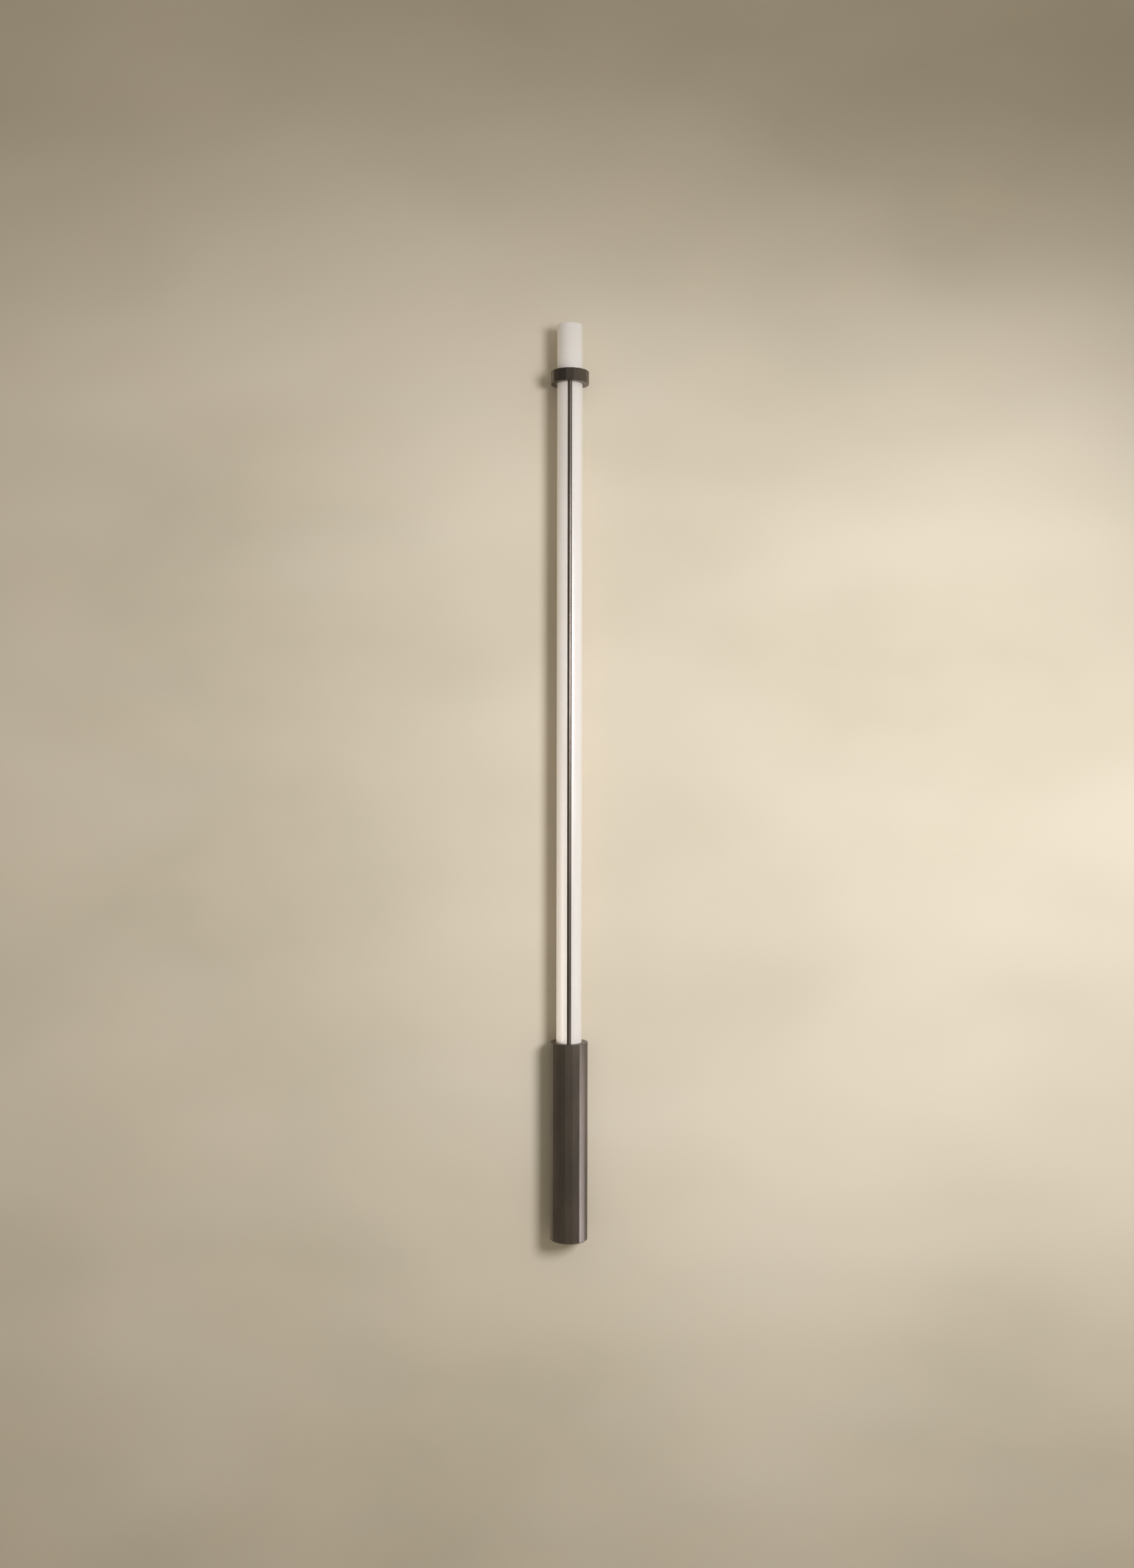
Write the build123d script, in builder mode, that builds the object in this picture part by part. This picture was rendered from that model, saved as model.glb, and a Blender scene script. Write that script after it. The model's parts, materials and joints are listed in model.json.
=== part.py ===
from build123d import *
import os
from collections import namedtuple
from math import cos, radians, sin

# A slim wall light: a closed opal glass tube stands in a faceted handle, runs up through a
# faceted collar, and a thin rod in front of it ties the collar to the handle.
# Millimetres, +Z up. The wall is the plane Y = 0 and the lamp stands out from it towards -Y.
# The origin is the centre of the wall bracket's back face, level with the handle's middle.

# ---------------------------------------------------------------- driving dimensions
# Stance and the long tube
axis_from_wall = 29.0
glass_radius = 17.5
glass_wall = 2.0
glass_top_thickness = 3.0
glass_joint = 0.05
glass_top_edge_radius = 0.8
exposed_glass = 903.0
glass_above_collar = 64.0

# Handle
facet_count = 16
handle_length = 273.0
handle_across_flats = 51.4
handle_wall = 3.2
handle_top_wall = 12.0
handle_edge_break = 0.4
handle_foot_chamfer = 1.5
end_cap_thickness = 5.0
end_cap_ledge = 0.7
window_side_gap = 0.8
window_end_gap = 1.0

# Collar and its liner
collar_height = 17.0
collar_across_flats = 52.0
collar_edge_break = 0.4
liner_wall = 0.85
liner_inset = 1.0

# Rod in front of the glass
rod_radius = 3.0
rod_offset = 22.2
rod_foot_thread = 8.0
rod_nut_radius = 2.9
rod_nut_height = 5.0
rod_top_recess = 1.0

# Seat that carries the glass inside the handle
seat_height = 32.5
seat_floor = 6.5
gasket_thickness = 1.5
gasket_inner_radius = 13.0
seal_wall = 1.2
seal_height = 2.3
seal_room = 0.2
seat_screw_angles = (45, 135)
seat_screw_drop = 21.0
seat_screw_tip_gap = 1.2

# Light core inside the glass
profile_width = 14.0
profile_depth = 11.0
channel_width = 10.4
channel_depth = 1.6
port_spacing = 7.0
strip_width = 10.0
strip_thickness = 0.5
strip_end_margin = 8.0
led_pitch = 16.5
led_width = 2.8
led_height = 3.5
led_thickness = 0.8
led_run_in = 18.0
spacer_thickness = 4.0
spacer_count = 2
scallop_count = 4
scallop_radius = 5.5
core_cap_height = 10.0
core_cap_socket = 5.0
core_cap_chamfer = 1.5
core_top_gap = 5.5
core_screw_bite = 10.0

# Bracket on the wall
bracket_inset = 46.5
bracket_width = 20.0
bracket_reach = 16.5
bracket_web = 2.0
bracket_flange = 1.8
bracket_bend_radius = 1.2
foot_tab_reach = 21.0
wall_slot_inset = 20.0
wall_slot_width = 4.5
wall_slot_length = 9.0
cable_hole_height = -38.0
cable_hole_radius = 7.0
cable_radius = 4.0
grommet_flange = 1.5
grommet_lip = 0.9
pin_radius = 2.0
pin_inset = 35.0
pin_from_wall = 13.5
lift_to_unhook = 15.0

# Stud on the wall behind the collar
stud_flange_radius = 7.5
stud_neck_radius = 3.2
stud_head_radius = 5.0
stud_head_thickness = 2.0
stud_screw_radius = 1.9
stud_screw_head = 3.6
stud_rise = 9.0
collar_slot_web = 2.7

# Tray inside the handle
tray_behind_axis = 4.0
tray_thickness = 1.5
tray_width = 34.0
tray_foot_gap = 7.5
tray_tab_width = 24.0
tray_tab_depth = 9.0
tray_screw_spacing = 16.0
tray_screw_behind_axis = 8.8
hook_thickness = 2.0
hook_finger = 1.8
hook_notch_depth = 11.0
hook_crown = 10.0

# Driver on the front of the tray
driver_width = 27.0
driver_depth = 18.0
driver_wall = 1.5
driver_headroom = 16.0
driver_rail = 1.0
driver_lug_length = 8.0
driver_lug_width = 12.0
driver_lug_thickness = 2.0
lid_lip = 0.8
board_thickness = 1.6
connector_width = 18.0
connector_length = 8.5
connector_gap = 2.0
component_height = 11.0
transformer_size = (18.0, 22.0)
transformer_rise = 8.0
transformer_flange = 2.0
transformer_waist = 2.0
capacitor_radius = 4.0
capacitor_spacing = 11.0
capacitor_gap = 11.0
inductor_radius = 6.0
inductor_bore = 2.5
inductor_gap = 19.0

# Terminal block and earth below the driver
terminal_drop = 26.0
terminal_room = 19.5
terminal_height = 20.0
terminal_width = 24.0
terminal_depth = 13.0
pole_pitch = 7.5
pocket_width = 5.0
pocket_depth = 4.0
pocket_ahead = 4.0
bar_thickness = 1.2
bar_end_gap = 2.0
terminal_screw_bite = 5.0
earth_screw_side = 12.0
earth_screw_drop = 6.0
earth_tag_thickness = 0.8
earth_tag_radius = 4.0
earth_barrel_radius = 1.5
earth_barrel_length = 4.0
earth_barrel_drop = 4.0

# Leads
lead_radius = 0.8
lead_bend = 2.5
lead_tail = 5.0
lead_straight = 6.5
supply_side = 5.0
output_ahead = 8.0
output_front = (4.0, 8.0)
output_rear = (7.0, 3.0)
floor_hole = (10.2, 2.6)
pad_side = 3.0
pad_rise = 15.5
core_lead_ahead = 9.5
core_lead_rise = 6.5

# Clearances
thread_play = 0.05
seal_play = 0.05
hole_play = 0.2
head_play = 0.1
slide_play = 0.3
seat_play = 0.3
strip_play = 0.2
notch_play = 0.2

# Screws: thread radius, head radius, head height and hexagon socket across flats
Screw = namedtuple("Screw", "thread head height socket")
m3 = Screw(thread=1.5, head=2.75, height=2.0, socket=2.0)
m4 = Screw(thread=2.0, head=3.6, height=2.4, socket=2.5)
sink_angle = 90
head_rounding = 0.25

# ---------------------------------------------------------------- levels and places
handle_bore_radius = handle_across_flats / 2 - handle_wall
seat_screw_length = handle_across_flats / 2 - glass_radius - seat_screw_tip_gap
handle_top = handle_length / 2
handle_bottom = -handle_length / 2
top_wall_underside = handle_top - handle_top_wall
collar_bottom = handle_top + exposed_glass
collar_top = collar_bottom + collar_height
glass_top = collar_top + glass_above_collar

seat_bottom = top_wall_underside - seat_height
core_foot = seat_bottom + seat_floor
glass_bottom = core_foot + gasket_thickness
core_cap_top = glass_top - glass_top_thickness - core_top_gap
profile_top = core_cap_top - core_cap_height + core_cap_socket
strip_bottom = core_foot + strip_end_margin
strip_top = profile_top - strip_end_margin

glass_bore_radius = glass_radius + slide_play
seal_recess_radius = glass_radius + seal_play + seal_wall + seal_play
collar_bore_radius = glass_bore_radius + liner_wall + seal_play
core_clear_radius = glass_radius - glass_wall - slide_play
channel_floor = profile_depth / 2 - channel_depth
strip_face = channel_floor + strip_thickness

terminal_bottom = handle_bottom + end_cap_thickness + terminal_room
terminal_top = terminal_bottom + terminal_height
driver_top = seat_bottom - driver_headroom
driver_bottom = terminal_top + terminal_drop
driver_back = tray_behind_axis
driver_front = driver_back - driver_depth
driver_lid_joint = driver_front + driver_wall
board_face = driver_back - driver_wall - driver_rail - board_thickness
tray_back = tray_behind_axis + tray_thickness
tray_bottom = handle_bottom + end_cap_thickness + tray_foot_gap
stud_height = collar_bottom + stud_rise
bracket_height = handle_length - 2 * bracket_inset
wall_slot_spacing = bracket_height - 2 * wall_slot_inset
pin_height = bracket_height / 2 - pin_inset
pin_heights = (pin_height, -pin_height)
lock_screw_behind_axis = axis_from_wall - (bracket_reach - bracket_web) - m4.thread / 2
earth_height = driver_bottom - earth_screw_drop


# ---------------------------------------------------------------- helpers
def lamp_plane(height):
    """The level plane at this height, centred on the lamp's axis, with local +Y to the wall."""
    return Plane((0, -axis_from_wall, height))


def facet_plane(angle, distance, height):
    """An upright plane square to a line that leaves the lamp's axis at this angle."""
    outward = Vector(cos(radians(angle)), sin(radians(angle)), 0)
    centre = Vector(0, -axis_from_wall, height) + outward * distance
    return Plane(origin=centre, z_dir=outward)


def front_plane(behind_axis, side=0, height=0):
    """An upright plane that faces the room, this far behind the lamp's axis."""
    centre = (side, behind_axis - axis_from_wall, height)
    return Plane(origin=centre, x_dir=(1, 0, 0), z_dir=(0, -1, 0))


def rear_plane(behind_axis, side=0, height=0):
    """An upright plane that faces the wall, this far behind the lamp's axis."""
    centre = (side, behind_axis - axis_from_wall, height)
    return Plane(origin=centre, x_dir=(-1, 0, 0), z_dir=(0, 1, 0))


def disc(radius, bottom, top, centre=(0, 0), mode=Mode.ADD):
    """Add or cut an upright cylinder between two levels, centred off the lamp's axis."""
    with BuildSketch(lamp_plane(bottom)) as outline:
        with Locations(centre):
            Circle(radius)
    extrude(outline.sketch, amount=top - bottom, mode=mode)


def block(width, depth, bottom, top, centre=(0, 0), mode=Mode.ADD):
    """Add or cut a rectangular block between two levels, centred off the lamp's axis."""
    with BuildSketch(lamp_plane(bottom)) as outline:
        with Locations(centre):
            Rectangle(width, depth)
    extrude(outline.sketch, amount=top - bottom, mode=mode)


def faceted_prism(across_flats, bottom, top):
    """Add the many-sided outside of the handle or collar, with a flat to the front."""
    with BuildSketch(lamp_plane(bottom)) as outline:
        RegularPolygon(across_flats / 2, facet_count, False, rotation=180 / facet_count)
    extrude(outline.sketch, amount=top - bottom)


def drop_slot(radius, round_height, foot, from_wall, depth):
    """Cut a slot with a round top, open down to this foot level, square to the wall."""
    with BuildSketch(Plane.XZ.offset(from_wall)) as outline:
        with Locations((0, round_height)):
            Circle(radius)
            Rectangle(2 * radius, round_height - foot, align=(Align.CENTER, Align.MAX))
    extrude(outline.sketch, amount=depth, mode=Mode.SUBTRACT)


def countersunk_screw(size, length):
    """A countersunk screw: its head is flush with the origin and its shank points down."""
    head_depth = size.head - size.thread
    with BuildPart() as screw:
        with BuildSketch(Plane.XZ):
            with BuildLine():
                Polyline(
                    (0, 0),
                    (size.head, 0),
                    (size.thread, -head_depth),
                    (size.thread, -length),
                    (0, -length),
                    close=True,
                )
            make_face()
        revolve(axis=Axis.Z)
        with BuildSketch():
            RegularPolygon(size.socket / 2, 6, major_radius=False)
        extrude(amount=-head_depth, mode=Mode.SUBTRACT)
    return screw.part


def pan_screw(size, length):
    """A round-headed screw: its head stands on the origin and its shank points down."""
    with BuildPart() as screw:
        with BuildSketch():
            Circle(size.head)
        extrude(amount=size.height)
        fillet(screw.edges().group_by(Axis.Z)[-1], size.height * head_rounding)
        with BuildSketch():
            Circle(size.thread)
        extrude(amount=-length)
        with BuildSketch(Plane.XY.offset(size.height)):
            RegularPolygon(size.socket / 2, 6, major_radius=False)
        extrude(amount=-size.height / 2, mode=Mode.SUBTRACT)
    return screw.part


def lead(points):
    """One insulated wire along straight runs joined by bends, from points off the lamp's axis."""
    with BuildPart() as wire:
        with BuildLine(Plane((0, -axis_from_wall, 0))) as route:
            FilletPolyline(*points, radius=lead_bend)
        start = Plane(origin=route.line @ 0, z_dir=route.line % 0)
        with BuildSketch(start):
            Circle(lead_radius)
        sweep(path=route.line)
    return wire.part


def save(piece, name):
    """Label one finished piece and write it to its own file."""
    piece.part.label = name
    export_step(piece.part, f"parts/{name}.step")


os.makedirs("parts", exist_ok=True)

# ---------------------------------------------------------------- handle
seat_screw_height = handle_top - seat_screw_drop
seat_screw_planes = [
    facet_plane(angle, handle_across_flats / 2, seat_screw_height) for angle in seat_screw_angles
]
end_cap_radius = handle_bore_radius + end_cap_ledge - seat_play
window_bottom = -bracket_height / 2 - lift_to_unhook - window_end_gap
window_top = bracket_height / 2 + window_end_gap

with BuildPart() as handle_sleeve:
    faceted_prism(handle_across_flats, handle_bottom, handle_top)
    chamfer(handle_sleeve.edges().group_by(Axis.Z)[-1], handle_edge_break)
    chamfer(handle_sleeve.edges().group_by(Axis.Z)[0], handle_foot_chamfer)
    disc(handle_bore_radius, handle_bottom, top_wall_underside, mode=Mode.SUBTRACT)
    # The end cap sits against a ledge just inside the open foot.
    ledge = handle_bottom + end_cap_thickness
    disc(handle_bore_radius + end_cap_ledge, handle_bottom, ledge, mode=Mode.SUBTRACT)
    disc(glass_bore_radius, top_wall_underside, handle_top, mode=Mode.SUBTRACT)
    # Tapped socket for the foot of the rod.
    rod_socket = handle_top - rod_foot_thread - hole_play
    disc(m4.thread + thread_play, rod_socket, handle_top, (0, -rod_offset), Mode.SUBTRACT)
    with Locations(*seat_screw_planes):
        CounterSinkHole(
            m3.thread + hole_play,
            m3.head + head_play,
            handle_across_flats / 2 - handle_bore_radius + hole_play,
            counter_sink_angle=sink_angle,
        )
    # Window in the back, which the wall bracket enters.
    with BuildSketch(Plane.XZ):
        with Locations((0, (window_bottom + window_top) / 2)):
            Rectangle(bracket_width + 2 * window_side_gap, window_top - window_bottom)
    extrude(amount=bracket_reach, mode=Mode.SUBTRACT)
save(handle_sleeve, "handle_sleeve")

with BuildPart() as handle_end_cap:
    disc(end_cap_radius, handle_bottom, handle_bottom + end_cap_thickness)
    cap_screw_plane = Plane(
        origin=(0, lock_screw_behind_axis - axis_from_wall, handle_bottom),
        z_dir=(0, 0, -1),
    )
    with Locations(cap_screw_plane):
        CounterSinkHole(
            m4.thread + hole_play, m4.head + head_play, end_cap_thickness, counter_sink_angle=sink_angle
        )
save(handle_end_cap, "handle_end_cap")

# ---------------------------------------------------------------- seat, gasket and seal
with BuildPart() as tube_seat:
    disc(handle_bore_radius - seat_play, seat_bottom, top_wall_underside)
    disc(glass_bore_radius, core_foot, top_wall_underside, mode=Mode.SUBTRACT)
    seal_shelf = top_wall_underside - seal_height - seal_room
    disc(seal_recess_radius, seal_shelf, top_wall_underside, mode=Mode.SUBTRACT)
    # Holes in the floor: the light core's screws, the tray's screws and the four leads.
    for side in (-1, 1):
        core_screw = (side * port_spacing / 2, 0)
        disc(m3.thread + hole_play, seat_bottom, core_foot, core_screw, Mode.SUBTRACT)
        tray_screw = (side * tray_screw_spacing / 2, tray_screw_behind_axis)
        disc(m3.thread + thread_play, seat_bottom, core_foot, tray_screw, Mode.SUBTRACT)
        for face in (-1, 1):
            lead_hole = (side * floor_hole[0], face * floor_hole[1])
            disc(lead_radius + slide_play, seat_bottom, core_foot, lead_hole, Mode.SUBTRACT)
    with Locations(*seat_screw_planes):
        Hole(m3.thread + thread_play, seat_screw_length + hole_play)
save(tube_seat, "tube_seat")

seat_screw = countersunk_screw(m3, seat_screw_length)
with BuildPart() as seat_screws:
    with Locations(*seat_screw_planes):
        add(seat_screw)
save(seat_screws, "seat_screws")

with BuildPart() as seat_gasket:
    disc(glass_radius, core_foot, glass_bottom)
    disc(gasket_inner_radius, core_foot, glass_bottom, mode=Mode.SUBTRACT)
save(seat_gasket, "seat_gasket")

with BuildPart() as tube_seal:
    seal_top = seal_shelf + seal_height
    disc(seal_recess_radius - seal_play, seal_shelf, seal_top)
    disc(glass_radius + seal_play, seal_shelf, seal_top, mode=Mode.SUBTRACT)
save(tube_seal, "tube_seal")

# ---------------------------------------------------------------- glass tube and its top disc
with BuildPart() as diffuser_tube:
    disc(glass_radius, glass_bottom, glass_top)
    fillet(diffuser_tube.edges().group_by(Axis.Z)[-1], glass_top_edge_radius)
    inner_radius = glass_radius - glass_wall
    disc(inner_radius, glass_bottom, glass_top, mode=Mode.SUBTRACT)
save(diffuser_tube, "diffuser_tube")

with BuildPart() as diffuser_end_disc:
    disc(inner_radius - glass_joint, glass_top - glass_top_thickness, glass_top)
save(diffuser_end_disc, "diffuser_end_disc")

# ---------------------------------------------------------------- collar, liner and rod
rod_thread_top = collar_top - rod_top_recess
collar_back_from_wall = axis_from_wall - collar_across_flats / 2
stud_head_from_wall = collar_back_from_wall + collar_slot_web + slide_play
pocket_depth_in_collar = stud_head_thickness + 2 * slide_play

with BuildPart() as tube_collar:
    faceted_prism(collar_across_flats, collar_bottom, collar_top)
    chamfer(tube_collar.edges().group_by(Axis.Z)[-1], collar_edge_break)
    chamfer(tube_collar.edges().group_by(Axis.Z)[0], collar_edge_break)
    disc(collar_bore_radius, collar_bottom, collar_top, mode=Mode.SUBTRACT)
    # Hole for the rod's upper thread, with a recess for its nut in the top.
    rod_place = (0, -rod_offset)
    disc(m4.thread + hole_play, collar_bottom, collar_top, rod_place, Mode.SUBTRACT)
    nut_recess = collar_top - rod_nut_height
    disc(rod_nut_radius + head_play, nut_recess, collar_top, rod_place, Mode.SUBTRACT)
    # T-slot that drops over the wall stud, open at the underside.
    drop_slot(
        stud_neck_radius + slide_play, stud_height, collar_bottom, 0, stud_head_from_wall
    )
    drop_slot(
        stud_head_radius + slide_play,
        stud_height,
        collar_bottom,
        stud_head_from_wall - slide_play,
        pocket_depth_in_collar,
    )
save(tube_collar, "tube_collar")

with BuildPart() as collar_liner:
    liner_bottom = collar_bottom + liner_inset
    liner_top = collar_top - liner_inset
    disc(glass_bore_radius + liner_wall, liner_bottom, liner_top)
    disc(glass_bore_radius, liner_bottom, liner_top, mode=Mode.SUBTRACT)
save(collar_liner, "collar_liner")

with BuildPart() as tie_rod:
    disc(rod_radius, handle_top, collar_bottom, rod_place)
    disc(m4.thread, handle_top - rod_foot_thread, handle_top, rod_place)
    disc(m4.thread, collar_bottom, rod_thread_top, rod_place)
save(tie_rod, "tie_rod")

with BuildPart() as rod_nut:
    disc(rod_nut_radius, nut_recess, collar_top, rod_place)
    disc(m4.thread + thread_play, nut_recess, collar_top, rod_place, Mode.SUBTRACT)
    # Slot across the top for a screwdriver.
    block(2 * rod_nut_radius, rod_top_recess, rod_thread_top, collar_top, rod_place, Mode.SUBTRACT)
save(rod_nut, "rod_nut")

# ---------------------------------------------------------------- light core
with BuildPart() as led_profile:
    block(profile_width, profile_depth, core_foot, profile_top)
    for face in (-1, 1):
        channel = (0, face * (profile_depth - channel_depth) / 2)
        block(channel_width, channel_depth, core_foot, profile_top, channel, Mode.SUBTRACT)
    for side in (-1, 1):
        port = (side * port_spacing / 2, 0)
        disc(m3.thread + thread_play, core_foot, profile_top, port, Mode.SUBTRACT)
save(led_profile, "led_profile")

profile_screw = pan_screw(m3, seat_floor + core_screw_bite)
with BuildPart() as profile_screws:
    for side in (-1, 1):
        core_screw_plane = Plane(
            origin=(side * port_spacing / 2, -axis_from_wall, seat_bottom), z_dir=(0, 0, -1)
        )
        with Locations(core_screw_plane):
            add(profile_screw)
save(profile_screws, "profile_screws")

led_row_length = strip_top - strip_bottom - 2 * led_run_in
led_count = int(led_row_length / led_pitch) + 1
led_row_centre = (strip_top + strip_bottom) / 2
for face, name in ((-1, "led_strip_front"), (1, "led_strip_rear")):
    with BuildPart() as led_strip:
        strip_middle = face * (channel_floor + strip_thickness / 2)
        block(strip_width, strip_thickness, strip_bottom, strip_top, (0, strip_middle))
        outward = front_plane(-strip_face) if face < 0 else rear_plane(strip_face)
        with BuildSketch(outward):
            with Locations((0, led_row_centre)):
                with GridLocations(led_pitch, led_pitch, 1, led_count):
                    Rectangle(led_width, led_height)
        extrude(amount=led_thickness)
    save(led_strip, name)

with BuildPart() as core_spacers:
    spacer_step = (profile_top - core_foot) / (spacer_count + 1)
    for number in range(1, spacer_count + 1):
        spacer_bottom = core_foot + number * spacer_step
        with BuildSketch(lamp_plane(spacer_bottom)):
            Circle(core_clear_radius)
            scallop_turn = 180 / scallop_count
            with PolarLocations(core_clear_radius, scallop_count, start_angle=scallop_turn):
                Circle(scallop_radius, mode=Mode.SUBTRACT)
            Rectangle(
                profile_width + 2 * strip_play,
                profile_depth + 2 * strip_play,
                mode=Mode.SUBTRACT,
            )
        extrude(amount=spacer_thickness)
save(core_spacers, "core_spacers")

with BuildPart() as core_top_cap:
    disc(core_clear_radius, core_cap_top - core_cap_height, core_cap_top)
    chamfer(core_top_cap.edges().group_by(Axis.Z)[-1], core_cap_chamfer)
    block(
        profile_width + 2 * strip_play,
        profile_depth + 2 * strip_play,
        core_cap_top - core_cap_height,
        profile_top,
        mode=Mode.SUBTRACT,
    )
save(core_top_cap, "core_top_cap")

# ---------------------------------------------------------------- wall bracket and its pins
with BuildPart() as wall_bracket:
    bottom = -bracket_height / 2
    with BuildSketch(Plane.XY.offset(bottom)):
        Rectangle(bracket_width, bracket_reach, align=(Align.CENTER, Align.MAX))
        with Locations((0, -bracket_web)):
            Rectangle(
                bracket_width - 2 * bracket_flange,
                bracket_reach,
                align=(Align.CENTER, Align.MAX),
                mode=Mode.SUBTRACT,
            )
    extrude(amount=bracket_height)
    bend_edges = wall_bracket.edges().filter_by(Axis.Z).group_by(Axis.Y)[-1]
    fillet(bend_edges, bracket_bend_radius)
    # Foot tab, tapped for the screw that holds the end cap and stops the lamp from lifting.
    with BuildSketch(Plane.XY.offset(bottom)):
        with Locations((0, -bracket_web)):
            Rectangle(
                bracket_width - 2 * bracket_flange,
                foot_tab_reach - bracket_web,
                align=(Align.CENTER, Align.MAX),
            )
    extrude(amount=bracket_web)
    lock_place = (0, lock_screw_behind_axis)
    disc(m4.thread + thread_play, bottom, bottom + bracket_web, lock_place, Mode.SUBTRACT)
    with BuildSketch(Plane.XZ):
        with GridLocations(0, wall_slot_spacing, 1, 2):
            SlotOverall(wall_slot_length, wall_slot_width, rotation=90)
        with Locations((0, cable_hole_height)):
            Circle(cable_hole_radius)
    extrude(amount=bracket_web, mode=Mode.SUBTRACT)
    with BuildSketch(Plane.YZ):
        with Locations(*[(-pin_from_wall, height) for height in pin_heights]):
            Circle(pin_radius + thread_play)
    extrude(amount=bracket_width, both=True, mode=Mode.SUBTRACT)
save(wall_bracket, "wall_bracket")

with BuildPart() as hanger_pins:
    with BuildSketch(Plane.YZ):
        with Locations(*[(-pin_from_wall, height) for height in pin_heights]):
            Circle(pin_radius)
    extrude(amount=bracket_width / 2, both=True)
save(hanger_pins, "hanger_pins")

with BuildPart() as cable_grommet:
    with BuildSketch(Plane.XZ):
        with Locations((0, cable_hole_height)):
            Circle(cable_hole_radius - seal_play)
    extrude(amount=bracket_web)
    with BuildSketch(Plane.XZ.offset(bracket_web)):
        with Locations((0, cable_hole_height)):
            Circle(cable_hole_radius + grommet_lip)
    extrude(amount=grommet_flange)
    with BuildSketch(Plane.XZ):
        with Locations((0, cable_hole_height)):
            Circle(cable_radius)
    extrude(amount=bracket_web + grommet_flange, mode=Mode.SUBTRACT)
save(cable_grommet, "cable_grommet")

with BuildPart() as upper_wall_stud:
    stud_flange = collar_back_from_wall - slide_play
    stud_end = stud_head_from_wall + stud_head_thickness
    with BuildSketch(Plane.XZ):
        with Locations((0, stud_height)):
            Circle(stud_flange_radius)
    extrude(amount=stud_flange)
    with BuildSketch(Plane.XZ.offset(stud_flange)):
        with Locations((0, stud_height)):
            Circle(stud_neck_radius)
    extrude(amount=stud_head_from_wall - stud_flange)
    with BuildSketch(Plane.XZ.offset(stud_head_from_wall)):
        with Locations((0, stud_height)):
            Circle(stud_head_radius)
    extrude(amount=stud_head_thickness)
    with Locations(Plane.XZ.offset(stud_end) * Pos(0, stud_height, 0)):
        CounterSinkHole(stud_screw_radius, stud_screw_head, counter_sink_angle=sink_angle)
save(upper_wall_stud, "upper_wall_stud")

cap_screw_length = end_cap_thickness + (handle_length - bracket_height) / 2
cap_screw = countersunk_screw(m4, cap_screw_length)
with BuildPart() as end_cap_screw:
    with Locations(cap_screw_plane):
        add(cap_screw)
save(end_cap_screw, "end_cap_screw")

# ---------------------------------------------------------------- tray with its hooks
driver_lug_heights = (
    driver_top + driver_lug_length / 2,
    driver_bottom - driver_lug_length / 2,
)
terminal_middle = (terminal_top + terminal_bottom) / 2
notch_radius = pin_radius + notch_play
pin_behind_axis = axis_from_wall - pin_from_wall
hook_reach = pin_behind_axis + notch_radius + hook_finger

with BuildPart() as driver_tray:
    tray_middle = (0, tray_behind_axis + tray_thickness / 2)
    block(tray_width, tray_thickness, tray_bottom, seat_bottom, tray_middle)
    tab_bottom = seat_bottom - tray_thickness
    tab_middle = (0, tray_behind_axis + tray_tab_depth / 2)
    block(tray_tab_width, tray_tab_depth, tab_bottom, seat_bottom, tab_middle)
    for side in (-1, 1):
        tab_hole = (side * tray_screw_spacing / 2, tray_screw_behind_axis)
        disc(m3.thread + hole_play, tab_bottom, seat_bottom, tab_hole, Mode.SUBTRACT)
    # Hooks on the back, notched from below to drop over the bracket's pins.
    with BuildSketch(Plane.YZ):
        for height in pin_heights:
            with Locations((tray_behind_axis - axis_from_wall, height + hook_crown)):
                Rectangle(
                    hook_reach - tray_behind_axis,
                    hook_crown + hook_notch_depth,
                    align=(Align.MIN, Align.MAX),
                )
            with Locations((-pin_from_wall, height)):
                Circle(notch_radius, mode=Mode.SUBTRACT)
                Rectangle(
                    2 * notch_radius,
                    hook_notch_depth,
                    align=(Align.CENTER, Align.MAX),
                    mode=Mode.SUBTRACT,
                )
    extrude(amount=hook_thickness / 2, both=True)
    # Tapped holes for the driver, the terminal block and the earth screw.
    with BuildSketch(front_plane(tray_behind_axis)):
        with Locations(*[(0, height) for height in driver_lug_heights]):
            Circle(m3.thread + thread_play)
        with Locations((0, terminal_middle)):
            Circle(m3.thread + hole_play)
        with Locations((earth_screw_side, earth_height)):
            Circle(m4.thread + thread_play)
    extrude(amount=-tray_thickness, mode=Mode.SUBTRACT)
save(driver_tray, "driver_tray")

tray_screw = pan_screw(m3, tray_thickness + seat_floor)
with BuildPart() as tray_screws:
    for side in (-1, 1):
        tray_screw_plane = Plane(
            origin=(
                side * tray_screw_spacing / 2,
                tray_screw_behind_axis - axis_from_wall,
                seat_bottom - tray_thickness,
            ),
            z_dir=(0, 0, -1),
        )
        with Locations(tray_screw_plane):
            add(tray_screw)
save(tray_screws, "tray_screws")

# ---------------------------------------------------------------- driver
cavity_width = driver_width - 2 * driver_wall
cavity_bottom = driver_bottom + driver_wall
cavity_top = driver_top - driver_wall
cavity_back = driver_back - driver_wall
case_middle = (0, (driver_lid_joint + driver_back) / 2)
board_middle = (0, board_face + board_thickness / 2)
supply_holes = [(side * supply_side, -output_ahead) for side in (-1, 1)]
output_holes = [
    (side * place[0], -place[1]) for side in (-1, 1) for place in (output_front, output_rear)
]

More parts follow.
